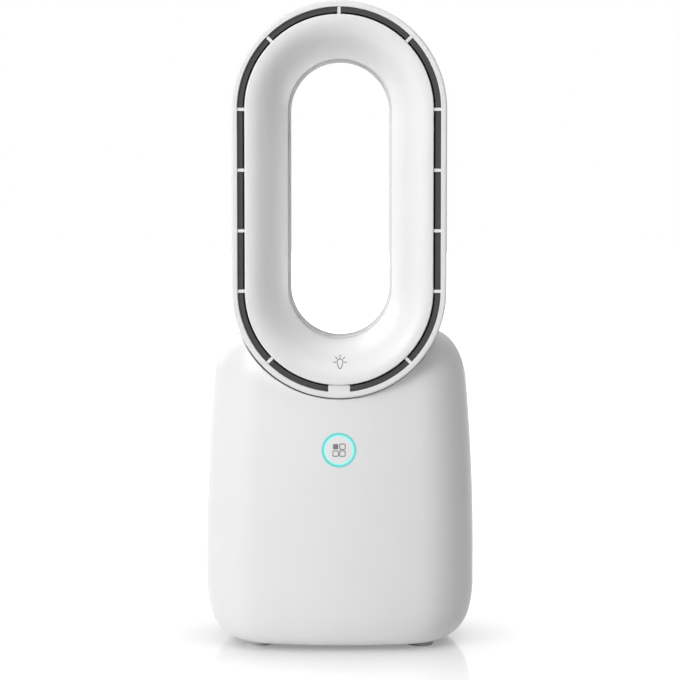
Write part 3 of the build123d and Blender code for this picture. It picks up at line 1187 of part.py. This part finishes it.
os.makedirs("parts", exist_ok=True)
for name, piece in PIECES.items():
    export_step(piece, f"parts/{name}.step")
    print(name, round(piece.volume), len(piece.solids()))
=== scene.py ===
# %% [markdown]
# # A bladeless table fan in Blender
# The fan's solid pieces come from a CAD model, model.glb: an oval air ring on a rounded
# housing, with the motor and impeller inside. They are loaded here as a fixed frame and are never moved.
# This file adds what CAD leaves out: the finishes, the two printed marks, the light and the camera.

# %% Load the CAD model as a frame
import json
from math import atan2, cos, pi, radians, sin

import bpy
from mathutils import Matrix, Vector
from mathutils.bvhtree import BVHTree


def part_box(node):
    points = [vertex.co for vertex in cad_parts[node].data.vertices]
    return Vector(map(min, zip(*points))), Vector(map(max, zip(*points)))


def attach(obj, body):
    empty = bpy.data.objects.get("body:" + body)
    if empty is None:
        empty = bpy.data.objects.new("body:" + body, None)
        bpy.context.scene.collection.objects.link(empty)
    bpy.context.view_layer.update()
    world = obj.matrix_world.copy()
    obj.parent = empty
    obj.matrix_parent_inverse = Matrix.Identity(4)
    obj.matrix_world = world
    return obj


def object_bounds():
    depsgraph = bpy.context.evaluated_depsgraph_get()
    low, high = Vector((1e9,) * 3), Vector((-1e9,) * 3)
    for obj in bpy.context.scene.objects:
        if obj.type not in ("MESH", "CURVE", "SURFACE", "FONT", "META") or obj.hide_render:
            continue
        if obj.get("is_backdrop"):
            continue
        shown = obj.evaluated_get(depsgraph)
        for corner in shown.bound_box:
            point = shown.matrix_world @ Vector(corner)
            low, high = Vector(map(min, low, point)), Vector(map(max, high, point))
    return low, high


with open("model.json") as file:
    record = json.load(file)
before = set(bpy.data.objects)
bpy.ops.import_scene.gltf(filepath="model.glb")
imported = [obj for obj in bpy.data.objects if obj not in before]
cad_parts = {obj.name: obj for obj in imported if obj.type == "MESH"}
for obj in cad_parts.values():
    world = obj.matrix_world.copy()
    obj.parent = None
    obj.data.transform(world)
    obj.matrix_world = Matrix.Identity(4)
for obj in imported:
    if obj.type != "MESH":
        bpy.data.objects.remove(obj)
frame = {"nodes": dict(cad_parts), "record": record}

CAD_LOW, CAD_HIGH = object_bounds()
NODES = frame["nodes"]
MM = 0.001
print(f"{len(NODES)} CAD pieces, {(CAD_HIGH.z - CAD_LOW.z) / MM:.0f} mm tall")

# %% [markdown]
# ## A small language for shaders
# A material in Blender is a graph of nodes. Wiring one by hand takes a line for every link, which hides
# the idea. Here a `Wire` stands for one node's output and knows how to add, subtract, multiply and take
# powers, so a mask reads like school maths. Each operation quietly adds a Math node. Everything else, such
# as a noise or a bump, comes from one method, `Finish.node`.

# %% Wires that can be added and multiplied
class Wire:
    """The output of a node. Arithmetic on it adds Math nodes to the same material."""

    def __init__(self, finish, socket):
        self.finish = finish
        self.socket = socket

    def maths(self, operation, *values):
        return self.finish.node("Math", {"operation": operation}, dict(enumerate(values)))

    def __add__(self, other):
        return self.maths("ADD", self, other)

    def __radd__(self, other):
        return self.maths("ADD", other, self)

    def __sub__(self, other):
        return self.maths("SUBTRACT", self, other)

    def __rsub__(self, other):
        return self.maths("SUBTRACT", other, self)

    def __mul__(self, other):
        return self.maths("MULTIPLY", self, other)

    def __rmul__(self, other):
        return self.maths("MULTIPLY", other, self)

    def __pow__(self, power):
        return self.maths("POWER", self, power)

    def clipped(self):
        """The same value, kept between 0 and 1."""
        return self.finish.node("Clamp", {}, {"Value": self})


print("wires can be added, subtracted, multiplied and raised to a power")


# %% A material under construction
class Finish:
    """A new material, or the sky, with its nodes and the coordinates they are laid out in."""

    def __init__(self, name, sky=None):
        self.owner = sky or bpy.data.materials.new(name)
        self.owner.use_nodes = True
        self.tree = self.owner.node_tree
        self.tree.nodes.clear()
        self.place = self.node("TexCoord", {}, {}, "Object")

    def node(self, kind, settings, inputs, output=0):
        """Adds a node, sets it up, feeds its sockets and hands back one of its outputs."""
        made = self.tree.nodes.new("ShaderNode" + kind)
        for name, value in settings.items():
            setattr(made, name, value)
        for name, value in inputs.items():
            if isinstance(value, Wire):
                self.tree.links.new(value.socket, made.inputs[name])
            else:
                made.inputs[name].default_value = value
        return Wire(self, made.outputs[output])

    def noise(self, grain, detail=3.0, stretch=(1, 1, 1)):
        """Cloudy noise whose blotches are about `grain` metres across."""
        place = self.node("Mapping", {}, {"Vector": self.place, "Scale": stretch})
        return self.node("TexNoise", {}, {"Vector": place, "Scale": 1 / grain, "Detail": detail})

    def mix(self, mask, low, high):
        """One colour where the mask is 0 and another where it is 1."""
        return self.node("Mix", {"data_type": "RGBA"}, {0: mask, 6: low, 7: high}, 2)

    def bump(self, height, depth):
        """Relief that stands `depth` metres high where the height is 1."""
        return self.node("Bump", {}, {"Height": height, "Distance": depth, "Strength": 1.0})

    def distance_from(self, centre):
        """Metres from a line that runs front to back through a point of the front view (x, z)."""
        split = {axis: self.node("SeparateXYZ", {}, {0: self.place}, axis) for axis in "XZ"}
        across, up = split["X"] - centre[0], split["Z"] - centre[1]
        return (across * across + up * up) ** 0.5

    def ramp(self, value, start, end):
        """0 up to start, 1 from end on, and a smooth slope between."""
        sockets = {"Value": value, "From Min": start, "From Max": end}
        return self.node("MapRange", {"interpolation_type": "SMOOTHSTEP"}, sockets)

    def shader(self, kind, **sockets):
        return self.node(kind, {}, {name.replace("_", " "): value for name, value in sockets.items()})

    def wear(self, shader, output="OutputMaterial"):
        """Makes a shader the surface of the material or the sky, and hands that back."""
        end = self.tree.nodes.new("ShaderNode" + output)
        self.tree.links.new(shader.socket, end.inputs["Surface"])
        return self.owner


def rgb(red, green, blue):
    return (red, green, blue, 1.0)


print("shader language ready")

# %% [markdown]
# ## Moulded plastics and rubber
# Nearly everything on the fan is moulded. A real moulding is never one flat colour: its tint drifts a
# little across the part, its gloss varies where the tool was polished, and its skin has a very fine grain.
# One function makes them all, from a colour, a roughness and the size of the grain. The drifting values
# feed only colour, roughness and the bump, because those three survive baking.

# %% A moulded skin
CLOUD = 30 * MM  # how wide a patch of slightly other tint and gloss is
GLOSS_SPREAD = 0.08  # how far the roughness spreads between the patches


def moulded(name, colour, roughness, grain=0.4 * MM, relief=0.004 * MM, drift=0.03, **sockets):
    """A moulded skin: a slow drift of tint and gloss, and a fine grain in relief."""
    finish = Finish(name)
    clouds = finish.noise(CLOUD)
    pores = finish.noise(grain, 2.0)
    darker = rgb(*(part * (1 - drift) for part in colour))
    return finish.wear(
        finish.shader(
            "BsdfPrincipled",
            Base_Color=finish.mix(clouds, rgb(*colour), darker),
            Roughness=clouds * GLOSS_SPREAD + (roughness - GLOSS_SPREAD / 2),
            Normal=finish.bump(pores, relief),
            **sockets,
        )
    )


print(f"tint and gloss drift in patches of {CLOUD / MM:.0f} mm")

# %% Moulded finishes
WHITE = (0.86, 0.86, 0.865)
FINISHES = {
    "shell_white": moulded(
        "white_shell", WHITE, 0.42, Specular_IOR_Level=0.35, Coat_Weight=0.06, Coat_Roughness=0.3
    ),
    # the slot liner is dark plastic, and its near-black colour is also painted shade for the depth of the
    # air slot
    "slot_dark": moulded("dark_liner_and_slot_shade", (0.036, 0.037, 0.039), 0.6, 0.6 * MM, 0.02 * MM, 0.15),
    "inner_white": moulded("white_inside", (0.80, 0.80, 0.78), 0.5),
    "inner_black": moulded("black_inside", (0.03, 0.03, 0.033), 0.48, 0.7 * MM, 0.02 * MM, 0.2),
    "foot_rubber": moulded("pale_silicone", (0.62, 0.62, 0.61), 0.6, 0.5 * MM, 0.02 * MM, 0.08),
    # the seal strip in the gap under the ring is near-black, which also paints the shade of that gap
    "gasket_dark": moulded("gasket_and_gap_shade", (0.035, 0.035, 0.036), 0.85, 0.5 * MM, 0.03 * MM, 0.2),
    "filter_grey": moulded("filter_mesh", (0.17, 0.175, 0.18), 0.7, 0.3 * MM, 0.03 * MM, 0.2),
    "impeller_grey": moulded("impeller_resin", (0.24, 0.25, 0.27), 0.3, 0.5 * MM, 0.006 * MM, 0.1),
    "magnet_dark": moulded("sintered_magnet", (0.07, 0.07, 0.078), 0.6, 0.25 * MM, 0.02 * MM, 0.25),
    "component_dark": moulded("component_resin", (0.06, 0.06, 0.066), 0.4, 0.4 * MM, 0.01 * MM, 0.2),
    "lead_black": moulded("lead_sleeve", (0.03, 0.03, 0.032), 0.5, 0.3 * MM, 0.01 * MM, 0.2),
    "film_amber": moulded("touch_film", (0.50, 0.26, 0.05), 0.25, 1.5 * MM, 0.004 * MM, 0.2),
    "lamp_yellow": moulded("lamp_phosphor", (0.86, 0.72, 0.22), 0.35, 0.2 * MM, 0.01 * MM, 0.1),
    "lamp_cyan": moulded("lamp_lens", (0.45, 0.86, 0.86), 0.2, 0.2 * MM, 0.004 * MM, 0.1),
    "diffuser_white": moulded(
        "milky_diffuser",
        (0.80, 0.80, 0.79),
        0.6,
        Specular_IOR_Level=0.0,
        Subsurface_Weight=0.3,
        Subsurface_Scale=2 * MM,
        Subsurface_Radius=(1.0, 1.0, 1.0),
    ),
}
print(f"{len(FINISHES)} moulded finishes")

# %% [markdown]
# ## Metals
# Screws, bearings, the rotor and the windings are metal. Turned and drawn metal shows fine lines that run
# one way. Noise that is squeezed along one axis gives those lines, and it feeds both the roughness and a
# shallow bump. The windings are a bundle of round copper wires, so theirs is a wave instead of noise. The
# wave also darkens the copper in the grooves between turns, which is painted shade.

# %% Turned and drawn metal
LINE_LENGTH = 3 * MM  # across its length, a line is thinner by the stretch
LINE_GLOSS = 0.25  # how far the roughness spreads between the lines
LINE_POLISH = 0.1  # how far the smoothest line lies below the metal's own roughness
TINT_PATCH, TINT_DARK = 8 * MM, 0.85  # how wide a darker patch is, and its share of the colour


def metal(name, colour, roughness, stretch=(1, 1, 30), relief=0.006 * MM):
    """Bare metal with fine lines across the axis that is stretched."""
    finish = Finish(name)
    lines = finish.noise(LINE_LENGTH, 4.0, stretch)
    tint = finish.noise(TINT_PATCH)
    darker = rgb(*(part * TINT_DARK for part in colour))
    return finish.wear(
        finish.shader(
            "BsdfPrincipled",
            Base_Color=finish.mix(tint, rgb(*colour), darker),
            Metallic=1.0,
            Roughness=lines * LINE_GLOSS + (roughness - LINE_POLISH),
            Normal=finish.bump(lines, relief),
        )
    )


print(f"metal lines are up to {LINE_LENGTH / MM:.0f} mm long")

# %% Copper windings
TURN = 0.35 * MM  # one turn of the copper wire
RIPPLE = 0.31  # the scale at which Blender's wave repeats once every metre


def wound_copper():
    """Enamelled wire: rows of turns in relief, with painted shade in the grooves between them."""
    finish = Finish("copper_windings")
    wave = {"Vector": finish.place, "Scale": RIPPLE / TURN, "Distortion": 0.4}
    turns = finish.node("TexWave", {"bands_direction": "Z"}, wave, 1)
    return finish.wear(
        finish.shader(
            "BsdfPrincipled",
            # painted shade: the copper is darker in the grooves between turns, where the relief is low
            Base_Color=finish.mix(turns, rgb(0.30, 0.09, 0.03), rgb(0.72, 0.30, 0.13)),
            Metallic=0.85,
            Roughness=0.42 - turns * 0.15,
            Normal=finish.bump(turns, 0.08 * MM),
        )
    )


print(f"a turn of wire is {TURN / MM:.2f} mm")

# %% Metal finishes
FINISHES.update(
    screw_steel=metal("screw_steel", (0.50, 0.51, 0.53), 0.32),
    bearing_steel=metal("polished_steel", (0.62, 0.63, 0.65), 0.22),
    stator_steel=metal("stator_laminations", (0.30, 0.31, 0.33), 0.45, (1, 1, 60), 0.02 * MM),
    can_metal=metal("rotor_can_metal", (0.60, 0.61, 0.63), 0.28),
    brass_tube=metal("turned_brass", (0.76, 0.56, 0.26), 0.28),
    coil_copper=wound_copper(),
)
print(f"{len(FINISHES)} finishes with the metals")

# %% [markdown]
# ## Circuit boards
# A board is fibreglass under green lacquer, with copper tracks that show through as slightly paler,
# slightly raised lines. A brick pattern gives straight runs with breaks in them, which reads as tracks at
# this size without drawing a circuit.

# %% Circuit board finish
TRACK_WIDTH, TRACK_PITCH, TRACK_RUN = 0.12 * MM, 1.4 * MM, 5 * MM


def circuit_board():
    """Green lacquer over straight copper tracks with breaks in them."""
    finish = Finish("green_board")
    tracks = finish.node(
        "TexBrick",
        {"offset": 0.35, "squash": 0.6},
        {
            "Vector": finish.place,
            "Color1": rgb(0, 0, 0),
            "Color2": rgb(0, 0, 0),
            "Mortar": rgb(1, 1, 1),
            "Scale": 1.0,
            "Mortar Size": TRACK_WIDTH,
            "Brick Width": TRACK_RUN,
            "Row Height": TRACK_PITCH,
        },
    )
    weave = finish.noise(0.8 * MM, 2.0)
    lacquer = finish.mix(weave, rgb(0.015, 0.13, 0.055), rgb(0.02, 0.17, 0.07))
    return finish.wear(
        finish.shader(
            "BsdfPrincipled",
            Base_Color=finish.mix(tracks, lacquer, rgb(0.10, 0.36, 0.15)),
            Roughness=weave * 0.15 + 0.3,
            Normal=finish.bump(tracks, 0.03 * MM),
        )
    )


FINISHES["circuit_green"] = circuit_board()
print("board lacquer made")

# %% [markdown]
# ## The lit halo and the key
# A ring of clear plastic round the key carries the light of six small lamps to the front, so it glows
# cyan, palest along its inner edge. Some of that light leaks into the white key's rim. The halo is the CAD
# model's own light guide with an emissive finish. Both slopes are masks made from one measure: how far a
# point lies from the key's axis.

# %% Where the key and the halo are
key_low, key_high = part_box("mode_key")
KEY_CENTRE = ((key_low.x + key_high.x) / 2, (key_low.z + key_high.z) / 2)
HALO_INNER, HALO_MIDDLE = 8.15 * MM, 8.9 * MM  # the glow fades from one radius to the other
KEY_EDGE = 7.9 * MM  # the key's own radius
LEAK_WIDTH = 0.5 * MM
print(f"halo centred {KEY_CENTRE[1] / MM:.1f} mm above the table")


# %% Halo and key finishes
def lit_halo():
    """Clear plastic lit from behind, palest along its inner edge."""
    finish = Finish("lit_halo")
    outwards = finish.ramp(finish.distance_from(KEY_CENTRE), HALO_INNER, HALO_MIDDLE)
    return finish.wear(
        finish.shader(
            "BsdfPrincipled",
            Base_Color=rgb(0.12, 0.42, 0.40),
            Roughness=finish.noise(2 * MM) * 0.1 + 0.3,
            Emission_Color=finish.mix(outwards, rgb(0.16, 0.48, 0.46), rgb(0.04, 0.27, 0.26)),
            Emission_Strength=1.0,
        )
    )


def key_face():
    """The shell's white, with the halo's light leaking in at the rim."""
    finish = Finish("key_face")
    clouds = finish.noise(CLOUD)
    leak = finish.ramp(finish.distance_from(KEY_CENTRE), KEY_EDGE - LEAK_WIDTH, KEY_EDGE)
    return finish.wear(
        finish.shader(
            "BsdfPrincipled",
            Base_Color=finish.mix(leak, rgb(*WHITE), rgb(0.50, 0.88, 0.88)),
            Roughness=clouds * GLOSS_SPREAD + 0.38,
            Normal=finish.bump(finish.noise(0.4 * MM, 2.0), 0.004 * MM),
            Emission_Color=finish.mix(leak, rgb(0, 0, 0), rgb(0.03, 0.25, 0.23)),
            Emission_Strength=1.0,
        )
    )


FINISHES["halo_cyan"] = lit_halo()
KEY_FACE = key_face()
print(f"{len(FINISHES)} finishes, and one for the key's face")

# %% [markdown]
# ## Dress every CAD piece
# The record names a material slot for each node, so the finishes go on by that name. The key is the one
# exception: it shares the shell's slot but has its own face.

# %% Finishes onto the CAD pieces
for part in frame["record"]["subparts"]:
    mesh = NODES[part["node"]].data
    mesh.materials.clear()
    mesh.materials.append(KEY_FACE if part["node"] == "mode_key" else FINISHES[part["material_slot"]])

# %% [markdown]
# ## Printed marks
# Two small marks are printed in grey ink: a light bulb at the ring's foot, where a touch turns on the
# night light, and four squares on the mode key. Ink is a skin a few hundredths of a millimetre thick that
# follows whatever it is printed on. Each mark is therefore drawn flat in the front view, and every point is
# then dropped straight back onto the CAD surface with a ray, so it bends with the funnel's curve.

# %% Drawing in the front view
INK_STEP = 0.25 * MM  # distance between points along a stroke


def arc(centre, radius, start, end):
    """Points along a circle, with angles in degrees from straight right, counter-clockwise."""
    count = max(4, round(abs(radians(end - start)) * radius / INK_STEP))
    turns = [radians(start + (end - start) * i / count) for i in range(count + 1)]
    return [(centre[0] + radius * cos(t), centre[1] + radius * sin(t)) for t in turns]


def straight(start, end):
    start, end = Vector(start), Vector(end)
    count = max(1, round((end - start).length / INK_STEP))
    return [tuple(start.lerp(end, i / count)) for i in range(count + 1)]


def rounded_square(centre, size, corner):
    """A closed path round a square with rounded corners."""
    reach = size / 2 - corner
    path = []
    for quarter, (right, up) in enumerate([(1, 1), (-1, 1), (-1, -1), (1, -1)]):
        middle = (centre[0] + right * reach, centre[1] + up * reach)
        path += arc(middle, corner, quarter * 90, quarter * 90 + 90)
    return path + [path[0]]


print(f"strokes are drawn in {INK_STEP / MM:.2f} mm steps")


# %% Flat patches of ink
def stroke_quads(path, width):
    """A ribbon of four-sided faces along a path in the front view."""
    points, faces = [], []
    closed = (Vector(path[0]) - Vector(path[-1])).length < 1e-7
    for i, here in enumerate(path):
        before = path[i - 1] if i else (path[-2] if closed else path[0])
        after = path[i + 1] if i + 1 < len(path) else (path[1] if closed else path[-1])
        along = (Vector(after) - Vector(before)).normalized()
        side = Vector((-along.y, along.x)) * width / 2
        points += [Vector(here) + side, Vector(here) - side]
        if i:
            faces.append((2 * i - 2, 2 * i - 1, 2 * i + 1, 2 * i))
    return points, faces


def filled_fan(path):
    """A disc of triangles inside a closed path, for a solid patch of ink."""
    centre = sum((Vector(p) for p in path[:-1]), Vector((0, 0))) / (len(path) - 1)
    points = [Vector(p) for p in path[:-1]] + [centre]
    last = len(points) - 1
    return points, [(last, i, (i + 1) % last) for i in range(last)]


print("a patch is a ribbon along a path, or a filled outline")

# %% Inking a drawing onto a CAD piece
INK_LIFT = 0.03 * MM
INK_THICKNESS = 0.05 * MM
INK = moulded("grey_ink", (0.20, 0.20, 0.21), 0.6, 0.2 * MM, 0.01 * MM, 0.15)


def ink(name, patches, carrier, body):
    """Drops flat patches of ink back onto a CAD piece and gives them a little thickness."""
    surface = BVHTree.FromObject(NODES[carrier], bpy.context.evaluated_depsgraph_get())
    start_y = CAD_LOW.y - 10 * MM  # in front of everything
    points, faces = [], []
    for flat_points, flat_faces in patches:
        first = len(points)
        for x, z in flat_points:
            hit, normal, _, _ = surface.ray_cast(Vector((x, start_y, z)), Vector((0, 1, 0)))
            points.append(hit + normal * INK_LIFT)
        faces += [[first + i for i in face] for face in flat_faces]
    mesh = bpy.data.meshes.new(name)
    mesh.from_pydata(points, [], faces)
    mesh.materials.append(INK)
    piece = bpy.data.objects.new(name, mesh)
    bpy.context.scene.collection.objects.link(piece)
    thicken = piece.modifiers.new("ink thickness", "SOLIDIFY")
    thicken.thickness = INK_THICKNESS
    thicken.offset = 0
    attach(piece, body)
    print(f"{name}: {len(faces)} faces on {carrier}")
    return piece


print(f"ink is {INK_THICKNESS / MM:.2f} mm thick")

# %% The bulb at the ring's foot
BULB_X, BULB_Z = 0.5 * MM, 162.0 * MM
BULB_R = 1.65 * MM
BULB_TURN = 25  # degrees that the round glass goes on below its middle
BULB_DROP = 3.5 * MM  # its lower tip below its centre
BULB_NECK = 0.45 * BULB_R  # half the width where the tip starts
BULB_TIP = 0.7 * MM
BULB_STROKE = 0.48 * MM
RAY_FROM, RAY_TO = 2.35 * MM, 3.7 * MM


def bulb_patches():
    """A round glass that narrows to a blunt tip, and five rays."""
    glass = arc((BULB_X, BULB_Z), BULB_R, -BULB_TURN, 180 + BULB_TURN)
    tip = (BULB_X, BULB_Z - BULB_DROP)
    left, right = ((BULB_X + side * BULB_NECK, tip[1] + BULB_TIP) for side in (-1, 1))
    strokes = [glass, straight(glass[-1], left), straight(glass[0], right)]
    strokes += [straight(left, tip), straight(right, tip)]
    for angle in (0, 45, 90, 135, 180):
        turn = radians(angle)
        ends = [(BULB_X + reach * cos(turn), BULB_Z + reach * sin(turn)) for reach in (RAY_FROM, RAY_TO)]
        strokes.append(straight(*ends))
    return [stroke_quads(path, BULB_STROKE) for path in strokes]


ink("bulb_mark", bulb_patches(), "ring_funnel", "base")

# %% The four squares on the mode key
SQUARE = 3.0 * MM
SQUARE_GAP = 0.8 * MM
SQUARE_CORNER = 0.55 * MM
SQUARE_STROKE = 0.5 * MM
SOLID_SQUARE, SOLID_CORNER = 2.9 * MM, 0.25 * MM


def square_patches():
    """Three outlined squares and a solid one at the top left."""
    patches = []
    reach = (SQUARE + SQUARE_GAP) / 2
    for right, up in [(1, 1), (-1, -1), (1, -1)]:
        centre = (KEY_CENTRE[0] + right * reach, KEY_CENTRE[1] + up * reach)
        patches.append(stroke_quads(rounded_square(centre, SQUARE, SQUARE_CORNER), SQUARE_STROKE))
    centre = (KEY_CENTRE[0] - reach, KEY_CENTRE[1] + reach)
    patches.append(filled_fan(rounded_square(centre, SOLID_SQUARE, SOLID_CORNER)))
    return patches


ink("mode_mark", square_patches(), "mode_key", "key")

# %% [markdown]
# ## Floor and backdrop
# The photograph stands the fan on a white, slightly glossy sweep, with a soft dark line of contact under
# the housing. The floor is a large sheet that takes light and shadow like any other. To the camera it also
# gives off some light of its own, more of it further away, so it reaches white and has no horizon. That
# extra light is scaled by ambient occlusion, the share of open sky a point sees. So it is weakest right
# under the fan, and the contact shadow stays.

# %% Floor finish
NEAR_LIFT, FAR_LIFT = 0.72, 1.0  # how strongly the floor glows to the camera
CONTACT_REACH = 90 * MM
CONTACT_POWER = 1.6
CONTACT_LEFT = 0.35  # the part of the glow that stays right under the fan
NEAR, FAR = 0.25, 1.5  # metres from the fan between which the glow grows
BOUNCING, SEEN = rgb(0.86, 0.86, 0.86), rgb(0.25, 0.25, 0.25)  # what lights the fan, and what is looked at


def pale_floor():
    """A glossy white sheet that also glows to the camera, least under the fan."""
    finish = Finish("pale_floor")
    camera = finish.node("LightPath", {}, {}, "Is Camera Ray")
    seen = camera + finish.node("LightPath", {}, {}, "Is Glossy Ray")
    open_sky = finish.node("AmbientOcclusion", {"samples": 8}, {"Distance": CONTACT_REACH}, "AO")
    shade = open_sky**CONTACT_POWER * (1 - CONTACT_LEFT) + CONTACT_LEFT
    away = finish.node("VectorMath", {"operation": "LENGTH"}, {0: finish.place}, "Value")
    lift = finish.ramp(away, NEAR, FAR) * (FAR_LIFT - NEAR_LIFT) + NEAR_LIFT
    glow = finish.shader("Emission", Color=rgb(1, 1, 1), Strength=seen.clipped() * lift * shade)
    sheet = finish.shader(
        "BsdfPrincipled",
        Base_Color=finish.mix(camera, BOUNCING, SEEN),
        Roughness=finish.noise(40 * MM) * 0.03 + 0.07,
        Specular_IOR_Level=0.4,
    )
    return finish.wear(finish.node("AddShader", {}, {0: sheet, 1: glow}))


print(f"the floor glows {NEAR_LIFT} near the fan and {FAR_LIFT} far from it")

# %% Floor
FLOOR_HALF = 6.0
mesh = bpy.data.meshes.new("floor")
corners = [(x * FLOOR_HALF, y * FLOOR_HALF, 0) for x, y in ((-1, -1), (1, -1), (1, 1), (-1, 1))]
mesh.from_pydata(corners, [], [(0, 1, 2, 3)])
mesh.materials.append(pale_floor())
floor = bpy.data.objects.new("floor", mesh)
bpy.context.scene.collection.objects.link(floor)
floor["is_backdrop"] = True
print(f"floor {2 * FLOOR_HALF:.0f} m square")

# %% [markdown]
# ## Light
# Most of the light comes from one big soft source ahead and to the left. It makes the housing fade from
# white on its left to grey on its right, and it fills the right side of the funnel while the left side turns
# dark. A weaker source overhead opens the shadow that the ring would leave on the housing's right shoulder.
# Another one behind, on the left, lights the right wall of the throat and keeps the back from going grey.
# The sky gives an even, weak fill. To the camera and to reflections the sky is plain white, which also
# draws the thin bright edge on the right.

# %% Sky
SKY_FILL = 0.08


def studio_sky():
    """White to the camera and in reflections, and weak where it only fills shadows."""
    sky = Finish("studio_sky", bpy.data.worlds.new("studio_sky"))
    filling = sky.node("LightPath", {}, {}, "Is Diffuse Ray")
    strength = 1 - filling * (1 - SKY_FILL)
    return sky.wear(sky.shader("Background", Color=rgb(1, 1, 1), Strength=strength), "OutputWorld")


bpy.context.scene.world = studio_sky()
print(f"sky fill {SKY_FILL}")

# %% Soft boxes
AIM = Vector((0, 0, 0.18))  # the middle of the fan


def soft_box(name, place, size, power):
    """A rectangular lamp that faces the middle of the fan."""
    lamp = bpy.data.lights.new(name, "AREA")
    lamp.shape = "RECTANGLE"
    lamp.size, lamp.size_y = size
    lamp.energy = power
    box = bpy.data.objects.new(name, lamp)
    box.location = place
    box.rotation_euler = (AIM - Vector(place)).to_track_quat("-Z", "Y").to_euler()
    bpy.context.scene.collection.objects.link(box)
    return box


soft_box("key_light", (-1.3, -1.46, 1.14), (1.3, 1.1), 34.5)
soft_box("top_light", (0.5, -0.6, 1.9), (0.8, 0.8), 8.5)
soft_box("back_light", (-1.1, 1.5, 1.0), (1.2, 1.2), 11.5)
print("three lamps lit")

# %% [markdown]
# ## Camera
# The photograph is taken from about the height of the ring's middle, looking slightly down through a long
# lens, so the ring's far side looks almost as large as its near side. The distance and height below put
# the ring, the key and the feet where the photograph has them, and the lens sets the size in the frame.

# %% Camera
IMAGE = 680  # pixels, square
FOCAL = 2364  # pixels
CAMERA = Vector((0.014, -1.352, 0.271))
DOWN = radians(4.23)

lens = bpy.data.cameras.new("camera")
lens.sensor_width = 36
lens.lens = lens.sensor_width * FOCAL / IMAGE
camera = bpy.data.objects.new("camera", lens)
camera.location = CAMERA
camera.rotation_euler = (pi / 2 - DOWN, 0, atan2(CAMERA.x, -CAMERA.y))
bpy.context.scene.collection.objects.link(camera)
bpy.context.scene.camera = camera
bpy.context.scene.view_settings.view_transform = "Standard"
print(f"lens {lens.lens:.0f} mm at {-CAMERA.y:.2f} m")

# %% Sizes, then finish
DRESSED_LOW, DRESSED_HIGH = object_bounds()
corners = {"cad": (CAD_LOW, CAD_HIGH), "dressed": (DRESSED_LOW, DRESSED_HIGH)}
for name, (low, high) in corners.items():
    print(name, "size in mm:", [round(side / MM, 2) for side in high - low])
